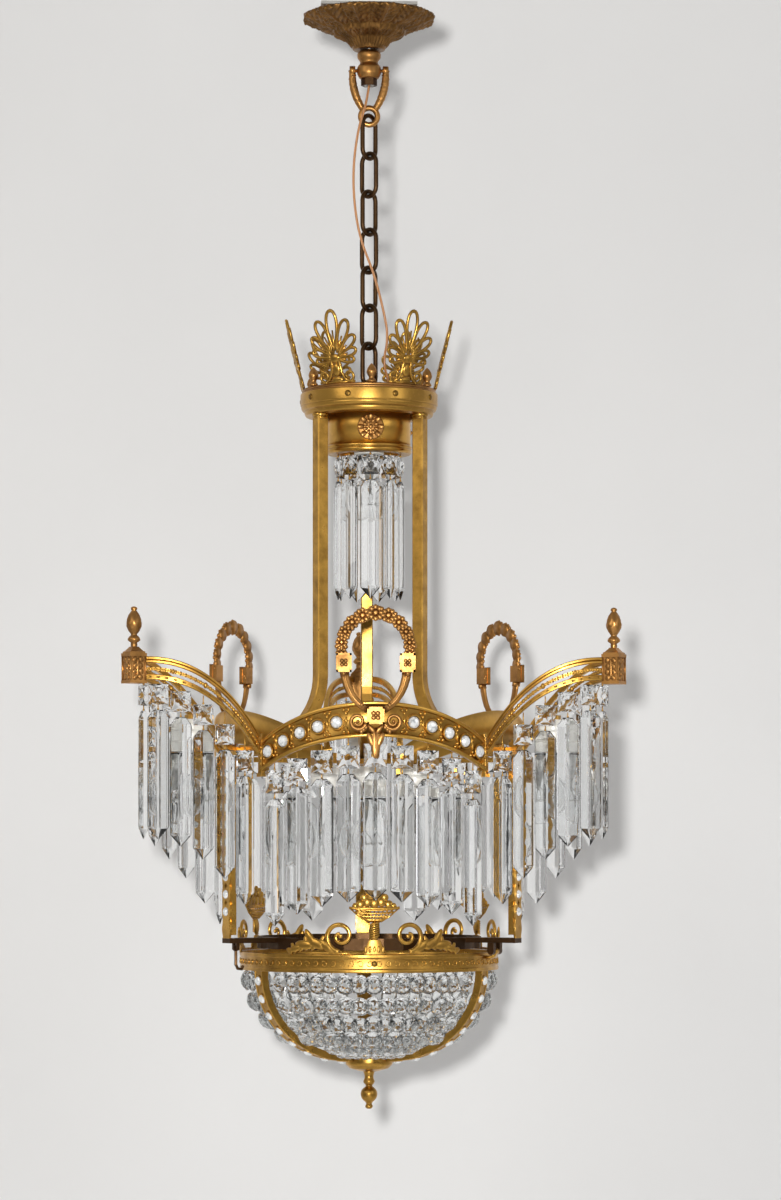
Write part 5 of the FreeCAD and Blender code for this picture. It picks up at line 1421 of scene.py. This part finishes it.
def bowl_ribs():
    """Three channelled ribs with eight jewels each, and the jewels' cups."""
    steps = 56
    section = [(-7.4, -7.3), (-6.1, -7.3), (-6.1, -2.0), (6.1, -2.0), (6.1, -7.3), (7.4, -7.3), (7.4, -0.6),
               (6.8, -0.1), (5.6, -0.1), (5.0, -0.8), (-5.0, -0.8), (-5.6, -0.1), (-6.8, -0.1), (-7.4, -0.6)]
    line = [bowl_point(radians(90.0 * i / steps)) for i in range(steps + 1)]
    rib, jewels = Maker(), Maker()
    rib.take(section_bar([p for p, _ in line], section, [(DEPTH, n) for _, n in line]))
    cup = lathe(rounded([(4.5, -0.9), (5.7, -0.9), (5.7, 0.2), (5.1, 0.5), (4.5, 0.1)], 0.3), 22)
    gem = dome(4.5, 2.9)
    for i in range(8):
        p, n = bowl_point(radians(6.0 + 11.4 * i))
        rib.take(cup, shift(p) @ tilt_to(n))
        jewels.take(gem, shift(p - n * 0.3) @ tilt_to(n))
    for one, node, look in ((rib, "bowl_ribs", "gilt"), (jewels, "rib_jewels", "jewel")):
        one.copies(turn(az) for az in CORNERS).dress(node, look, "bowl")


def bowl_strings():
    """Cut beads in meridian strings, with their short wires."""
    m, wires = Maker(), Maker()
    # columns of beads between two ribs, in degrees from one to the next
    step = 94.0 / 7.0
    for group in islands("bowl_beads"):
        c = sum(group, Vector()) / len(group)
        far = max((a - b).length for a in group for b in group)
        r = c.xy.length
        n = bowl_normal(r, c.z)
        az = degrees(atan2(c.y, c.x))
        facing = tilt_to(n) @ spin(90, "X")
        bead = star_bead(far / 2 + 0.9, far * 0.60, 8)
        m.take(bead, turn(az, c) @ facing)
        # a second bead, a little behind, between two strings
        column = ((az - 90.0) % 120.0 - 13.0) / step
        if r > 60.0 and column < 6.5:
            back = c - turn(az) @ n * 4.0
            m.take(bead, turn(step / 2) @ turn(az, (back.x, back.y, back.z - 1.0)) @ facing)
        along = Vector((-n.z, 0, n.x))
        high, low = along * (far / 2 + 0.4), along * (-far / 2 - 0.4)
        for ends in ([high, high * 0.82], [low * 0.82, low]):
            wires.take(bar(ends, 0.5, 6), turn(az, c))
    m.dress("bowl_beads", "bowl_crystal", "bowl", weld=False)
    wires.build("bowl_bead_wires", finish("gilt_satin"), "bowl", weld=False)


def bowl_cap():
    """Turned cap under the bowl with a row of beads, and the finial below it."""
    top, low = -1057.5, -1068.0
    cap = lathe(rounded([(0.1, low), (9.8, low), (12, low + 0.8), (19.6, low + 2.9), (21, low + 4.4),
                         (23.4, low + 6.8), (23.9, low + 9), (23.9, top + 3), (23.0, top + 3.8),
                         (23.9, top + 4.8), (23.9, top + 7.6), (22.2, top + 7.9), (21.9, low + 8),
                         (0.1, low + 5)], 0.7), 96)
    bead = ball(1.0, (0, 0, 0), 6, 8, (0.8, 2.6, 2.6))
    for i in range(20):
        cap.take(bead, turn(18.0 * i) @ shift((22.9, 0, -1058.8)))
    cap.dress("bowl_cap", "gilt", "bowl")
    turned = [(0.1, low), (5.9, low), (5.2, low - 2), (4.4, low - 5), (4.6, low - 7), (5.9, low - 10.4),
              (5.2, low - 12), (3.2, low - 14.4), (3.6, low - 15.4), (5.4, low - 16.8), (7.6, low - 19.2),
              (8.4, low - 22), (8.2, low - 25), (7.2, low - 27.6), (5.0, low - 30), (3.5, low - 31.2),
              (2.6, -1100.6), (3.9, -1102.6), (3.8, -1104), (2.4, -1105.6), (0.1, -1105.95)]
    lathe(rounded(turned, 0.8), 48).dress("bowl_finial", "gilt", "bowl")


def bent_round(m, radius):
    """Wraps what is modelled flat in front (x across, y depth from the ring) round the axis."""
    out = Maker()
    out.faces, out.smooth = m.faces, m.smooth
    for v in m.verts:
        a = v.x / radius
        r = radius - v.y
        out.verts.append(Vector((r * sin(a), -r * cos(a), v.z)))
    return out


BASKET_R = 129.3


def basket():
    """Fruit basket on a twisted stem, between volutes and curled acanthus leaves."""
    m, z = Maker(), -948.0
    foot = lathe(rounded([(0.1, 0.1), (12.2, 0.1), (11.4, 2.2), (8.6, 6.4), (6.8, 11), (5.2, 14.5),
                          (0.1, 14.5)], 0.8), 32)
    foot.verts = [Vector((v.x, v.y * 0.12, z + v.z)) for v in foot.verts]
    m.take(foot)
    for q in range(5):
        m.take(ball(1.0, (-8.4 + 4.2 * q, -0.6, z + 4.4), 6, 8, (1.8, 1.0, 4.2)))
    for q in range(7):
        low = z + 15.5 + 2.1 * q
        m.take(bar([(-4.8, -1.0, low), (0, -1.5, low + 1.6), (4.8, -1.0, low + 3.2)], 1.0, 6))
    m.take(ball(1.0, (0, 0, z + 23), 8, 14, (5.4, 1.3, 9.0)))
    # woven rows, upright canes and the plaited rim
    for q, half in enumerate((7.6, 13.2, 18.6, 22.6)):
        across = [half * (k - 6) / 6.0 for k in range(13)]
        m.take(bar([(x, -0.4, z + 33.5 + 3.1 * q + 0.004 * x * x) for x in across], 1.25, 6, up=DEPTH))
    for q in range(11):
        s = (q - 5) / 5.0
        m.take(bar([(6.0 * s, -0.7, z + 31.5), (15.5 * s, -1.0, z + 37.5), (23.4 * s, -0.8, z + 44.6)], 0.75,
                   6))
    m.take(bar([(x, -0.6, z + 44.6 + 0.001 * x * x) for x in [-24.3 + 2.7 * k for k in range(19)]],
               lambda s: 1.35 + 0.35 * abs(sin(s * 57)), 8, up=DEPTH))
    # fruit
    for x, h, r in ((-14, 48.4, 4.2), (-7, 50.4, 4.6), (0, 49.4, 4.8), (7, 50.4, 4.6), (14, 48.4, 4.2),
                    (-10, 55.0, 3.8), (-3.6, 57, 4.2), (3.6, 57, 4.2), (10, 55.0, 3.8), (0, 61.4, 3.4),
                    (-18.6, 47.0, 3.0), (18.6, 47.0, 3.0), (-6.6, 60.0, 2.6), (6.6, 60.0, 2.6)):
        m.take(ball(1.0, (x, -0.2, z + h), 8, 12, (r, 1.75, r)))
    # volute, ground line, curled leaf tips, leaf bodies and their stalk, on each side
    for sx in (1, -1):
        spiral = []
        for q in range(60):
            s = q / 59.0
            a = radians(-95 - 520 * s)
            r = 15.2 - 12.6 * s
            spiral.append(Vector((sx * (33 - r * cos(a)), -0.3, z + 17.8 + r * sin(a))))
        m.take(bar(spiral, lambda s: 2.7 - 1.1 * s, 8, up=DEPTH, flat=0.7))
        m.take(ball(1.0, (sx * 33, -0.4, z + 17.8), 6, 10, (2.3, 1.5, 2.3)))
        m.take(bar([(sx * 10, -0.2, z + 1.3), (sx * 35, -0.2, z + 1.3), (sx * 62, -0.2, z + 1.4),
                    (sx * 87.5, -0.2, z + 2.2)], 1.3, 8, up=DEPTH))
        for x, h, reach, tilt in ((52, 6, 13.5, -12), (59.5, 5, 12, 4), (66, 5, 14, 12), (72.5, 4, 9.5, 24),
                                  (78.5, 3.5, 10, 36), (84, 2.6, 7.0, 58)):
            a = radians(tilt)
            line = [Vector((sx * (x + reach * s * sin(a) + 1.6 * sin(3.0 * s)), -0.3 - 1.1 * s * (1 - s),
                            z + h + (reach - 1) * s * cos(a))) for s in [k / 9.0 for k in range(10)]]
            m.take(bar(line, lambda s: 3.9 * (1 - 0.72 * s) + 0.2, 8, up=DEPTH, flat=0.36))
        for x, up, long, tall, tilt in ((47, 8.0, 10, 4.2, -38), (58, 10.5, 11, 4.8, -24),
                                        (70, 9.0, 11, 4.6, -4), (64, 16.0, 10, 3.6, -58),
                                        (80, 5.5, 8, 3.4, 16)):
            m.take(ball(1.0, (0, 0, 0), 8, 12, (long, 1.7, tall)), shift((sx * x, -0.6, z + up))
                   @ spin(sx * tilt, "Y"))
        m.take(bar([(sx * 46, -0.3, z + 11), (sx * 56, -0.5, z + 9.5), (sx * 68, -0.6, z + 7),
                    (sx * 84, -0.3, z + 4.4)], lambda s: 2.0 - 1.1 * s, 8, up=DEPTH))
    return bent_round(m, BASKET_R)


def baskets():
    """Three baskets on the bowl's ring."""
    basket().copies(front_to(az) for az in FACES).dress("bowl_ornaments", "gilt", "bowl")


# ------------------------------------------------------------------ stage
def cloth_material(pale):
    """Pale cloth that can be seen through from behind, for views from the back."""
    mat, tree, bsdf = new_material("Backdrop cloth")
    vector = coords(tree)
    cloud = noise_node(tree, vector, 2.2, 3.0, 0.5)
    dull = tuple(c * 0.965 for c in pale)
    tone = mixed(tree, spread(tree, cloud, 0.35, 0.7, 0.0, 1.0), dull, tuple(pale))
    tree.links.new(tone, bsdf.inputs["Base Color"])
    bsdf.inputs["Roughness"].default_value = 0.95
    bsdf.inputs["Specular IOR Level"].default_value = 0.1
    bump(tree, bsdf, noise_node(tree, vector, 900.0, 2.0, 0.5), 0.05, 0.0004)
    geometry = tree.nodes.new("ShaderNodeNewGeometry")
    clear = tree.nodes.new("ShaderNodeBsdfTransparent")
    either = tree.nodes.new("ShaderNodeMixShader")
    tree.links.new(geometry.outputs["Backfacing"], either.inputs[0])
    tree.links.new(bsdf.outputs[0], either.inputs[1])
    tree.links.new(clear.outputs[0], either.inputs[2])
    tree.links.new(either.outputs[0], tree.nodes["Material Output"].inputs["Surface"])
    return mat


def hang_cloth(scene, az, gap, pale):
    """Cloth behind the chandelier, curved at its foot into a floor; metres."""
    away = -Vector((cos(az), sin(az), 0))
    side = Vector((-away.y, away.x, 0))
    wide, high, deep, curve, floor = 4.0, 3.2, 2.6, 0.5, 5.5
    steps, columns = 10, 9
    rows = [(0.0, high)]
    for i in range(steps + 1):
        a = radians(90.0 * i / steps)
        rows.append((-curve * (1 - cos(a)), -deep + curve * (1 - sin(a))))
    rows.append((-floor, -deep))
    verts, faces = [], []
    for d, z in rows:
        for k in range(columns):
            x = -wide + 2 * wide * k / (columns - 1)
            verts.append(away * gap + away * d + side * x + Vector((0, 0, z)))
    for i in range(len(rows) - 1):
        for k in range(columns - 1):
            a, b = i * columns + k, (i + 1) * columns + k
            faces.append([a, a + 1, b + 1, b])
    mesh = bpy.data.meshes.new("backdrop")
    mesh.from_pydata(verts, [], faces)
    mesh.polygons.foreach_set("use_smooth", [True] * len(faces))
    mesh.materials.append(cloth_material(pale))
    cloth = bpy.data.objects.new("backdrop", mesh)
    scene.collection.objects.link(cloth)


def set_world(scene, az):
    """Pale sky for the camera; darker, with a dim room behind the camera, for reflections."""
    world = bpy.data.worlds.new("Studio")
    scene.world = world
    world.use_nodes = True
    tree = world.node_tree
    background = tree.nodes["Background"]
    tc = tree.nodes.new("ShaderNodeTexCoord")
    split = tree.nodes.new("ShaderNodeSeparateXYZ")
    tree.links.new(tc.outputs["Generated"], split.inputs["Vector"])
    sky = ramp(tree, spread(tree, split.outputs["Z"], -1.0, 1.0, 0.0, 1.0),
               [(0.0, (0.40, 0.37, 0.33)), (0.45, (0.70, 0.68, 0.65)), (1.0, (1.0, 1.0, 1.0))])
    room = tree.nodes.new("ShaderNodeVectorMath")
    room.operation = "DOT_PRODUCT"
    room.inputs[1].default_value = (cos(az), sin(az), -0.15)
    tree.links.new(tc.outputs["Generated"], room.inputs[0])
    sky = mixed(tree, spread(tree, room.outputs["Value"], 0.15, 0.85, 0.0, 0.85), sky, (0.045, 0.035, 0.028))
    path = tree.nodes.new("ShaderNodeLightPath")
    sky = mixed(tree, path.outputs["Is Camera Ray"], sky, (1.0, 1.0, 1.0))
    tree.links.new(sky, background.inputs["Color"])
    background.inputs["Strength"].default_value = 0.55


def set_camera(scene, az, distance, height):
    """Long lens that looks level at the chandelier and is shifted to frame it."""
    camera_data = bpy.data.cameras.new("Camera")
    camera = bpy.data.objects.new("Camera", camera_data)
    scene.collection.objects.link(camera)
    camera.location = (distance * cos(az), distance * sin(az), height)
    camera.rotation_euler = (radians(90), 0, az + radians(90))
    camera_data.lens = 108.0
    camera_data.sensor_width = 36.0
    camera_data.sensor_fit = "VERTICAL"
    camera_data.sensor_height = 36.0
    camera_data.shift_x = 0.0179
    camera_data.shift_y = 0.2083
    camera_data.clip_end = 50.0
    scene.camera = camera
    return camera.location.copy()


def set_lights(scene, az, eye):
    """Flash beside the lens and a large soft light on each side."""
    right = Vector((cos(az + pi / 2), sin(az + pi / 2), 0))

    def light(name, at, aim, size, power, tint):
        data = bpy.data.lights.new(name, "AREA")
        data.shape = "DISK"
        data.size = size
        data.energy = power
        data.color = tint
        obj = bpy.data.objects.new(name, data)
        scene.collection.objects.link(obj)
        obj.location = at
        obj.rotation_euler = (Vector(aim) - Vector(at)).to_track_quat("-Z", "Y").to_euler()

    light("Flash", eye + right * -0.10 + UP * 0.11, (0, 0, -0.6), 0.10, 84.0, (1.0, 0.99, 0.97))
    light("Left softbox", eye * 0.62 + right * -1.9 + UP * 0.9, (0, 0, -0.7), 1.6, 16.0, (1.0, 0.97, 0.93))
    light("Right softbox", eye * 0.55 + right * 2.0 + UP * 0.3, (0, 0, -0.7), 1.6, 10.0, (0.97, 0.98, 1.0))


def set_stage():
    """The photo's surroundings: pale cloth, daylight room, camera and flash."""
    scene = bpy.context.scene
    s = scene.chandelier_stage
    az = radians(270.0) - s.turn
    scene.view_settings.view_transform = "Standard"
    hang_cloth(scene, az, s.backdrop_gap, s.backdrop)
    set_world(scene, az)
    eye = set_camera(scene, az, s.camera_distance, s.eye_height)
    set_lights(scene, az, eye)


# ------------------------------------------------------------------ operators
class CHANDELIER_OT_ceiling(bpy.types.Operator):
    """Build the ceiling rose, the loop, the chain and the supply flex"""
    bl_idname = "chandelier.ceiling"
    bl_label = "Ceiling group and chain"

    def execute(self, context):
        ceiling_rose()
        suspension_loop()
        chain_links()
        supply_flex()
        return {"FINISHED"}


class CHANDELIER_OT_crown(bpy.types.Operator):
    """Build the drum, its rim, rosettes and the openwork crown"""
    bl_idname = "chandelier.crown"
    bl_label = "Drum and crown"

    def execute(self, context):
        drum_and_rim()
        crown()
        return {"FINISHED"}


class CHANDELIER_OT_lantern(bpy.types.Operator):
    """Build the posts, jewelled arches, wreaths, corner arms and strips"""
    bl_idname = "chandelier.lantern"
    bl_label = "Lantern body"

    def execute(self, context):
        posts()
        arches_and_jewels()
        wreaths()
        corner_arms()
        corner_blocks()
        flames()
        junction_castings()
        strips()
        dressed_copy("cross_bars", "gilt")
        dressed_copy("lamp_bridge", "gilt")
        # the lower hoop takes the dark patina colour as painted shade for its shaded inner side
        dressed_copy("lower_hoop", "dark", bevel=0.4)
        dressed_copy("catch_hook", "dark", "catch", 0.3)
        return {"FINISHED"}


class CHANDELIER_OT_crystal(bpy.types.Operator):
    """Hang all square beads, long prisms and their pins"""
    bl_idname = "chandelier.crystal"
    bl_label = "Hanging crystal"

    def execute(self, context):
        pendants()
        return {"FINISHED"}


class CHANDELIER_OT_lamps(bpy.types.Operator):
    """Build the seven clear lamps in their sockets"""
    bl_idname = "chandelier.lamps"
    bl_label = "Lamps"

    def execute(self, context):
        lamps()
        return {"FINISHED"}


class CHANDELIER_OT_bowl(bpy.types.Operator):
    """Build the bowl: ring, ribs, strings of beads, cap, finial and baskets"""
    bl_idname = "chandelier.bowl"
    bl_label = "Beaded bowl"

    def execute(self, context):
        bowl_ring()
        bowl_ribs()
        bowl_strings()
        bowl_cap()
        baskets()
        return {"FINISHED"}


class CHANDELIER_OT_stage(bpy.types.Operator):
    """Set up the backdrop, the lights and the camera"""
    bl_idname = "chandelier.stage"
    bl_label = "Stage"

    def execute(self, context):
        set_stage()
        return {"FINISHED"}


OPERATORS = (CHANDELIER_OT_ceiling, CHANDELIER_OT_crown, CHANDELIER_OT_lantern, CHANDELIER_OT_crystal,
             CHANDELIER_OT_lamps, CHANDELIER_OT_bowl, CHANDELIER_OT_stage)


class CHANDELIER_PT_panel(bpy.types.Panel):
    """Settings and build steps of the chandelier"""
    bl_idname = "CHANDELIER_PT_panel"
    bl_label = "Crystal chandelier"
    bl_space_type = "VIEW_3D"
    bl_region_type = "UI"
    bl_category = "Chandelier"

    def draw(self, context):
        layout, scene = self.layout, context.scene
        for group in (scene.chandelier_metal, scene.chandelier_crystal, scene.chandelier_stage):
            box = layout.box()
            for name in group.bl_rna.properties.keys():
                if name not in ("rna_type", "name"):
                    box.prop(group, name)
        for op in OPERATORS:
            layout.operator(op.bl_idname)


CLASSES = (ChandelierMetal, ChandelierCrystal, ChandelierStage) + OPERATORS + (CHANDELIER_PT_panel,)


def register():
    """Adds the classes and the three groups of settings."""
    for cls in CLASSES:
        bpy.utils.register_class(cls)
    bpy.types.Scene.chandelier_metal = bpy.props.PointerProperty(type=ChandelierMetal)
    bpy.types.Scene.chandelier_crystal = bpy.props.PointerProperty(type=ChandelierCrystal)
    bpy.types.Scene.chandelier_stage = bpy.props.PointerProperty(type=ChandelierStage)


def unregister():
    """Takes away what register added."""
    del bpy.types.Scene.chandelier_stage
    del bpy.types.Scene.chandelier_crystal
    del bpy.types.Scene.chandelier_metal
    for cls in reversed(CLASSES):
        bpy.utils.unregister_class(cls)


def main():
    """Runs every build step."""
    register()
    steps = bpy.ops.chandelier
    for step in (steps.ceiling, steps.crown, steps.lantern, steps.crystal, steps.lamps, steps.bowl,
                 steps.stage):
        if step() != {"FINISHED"}:
            raise RuntimeError("a build step stopped early")


if __name__ == "__main__":
    main()
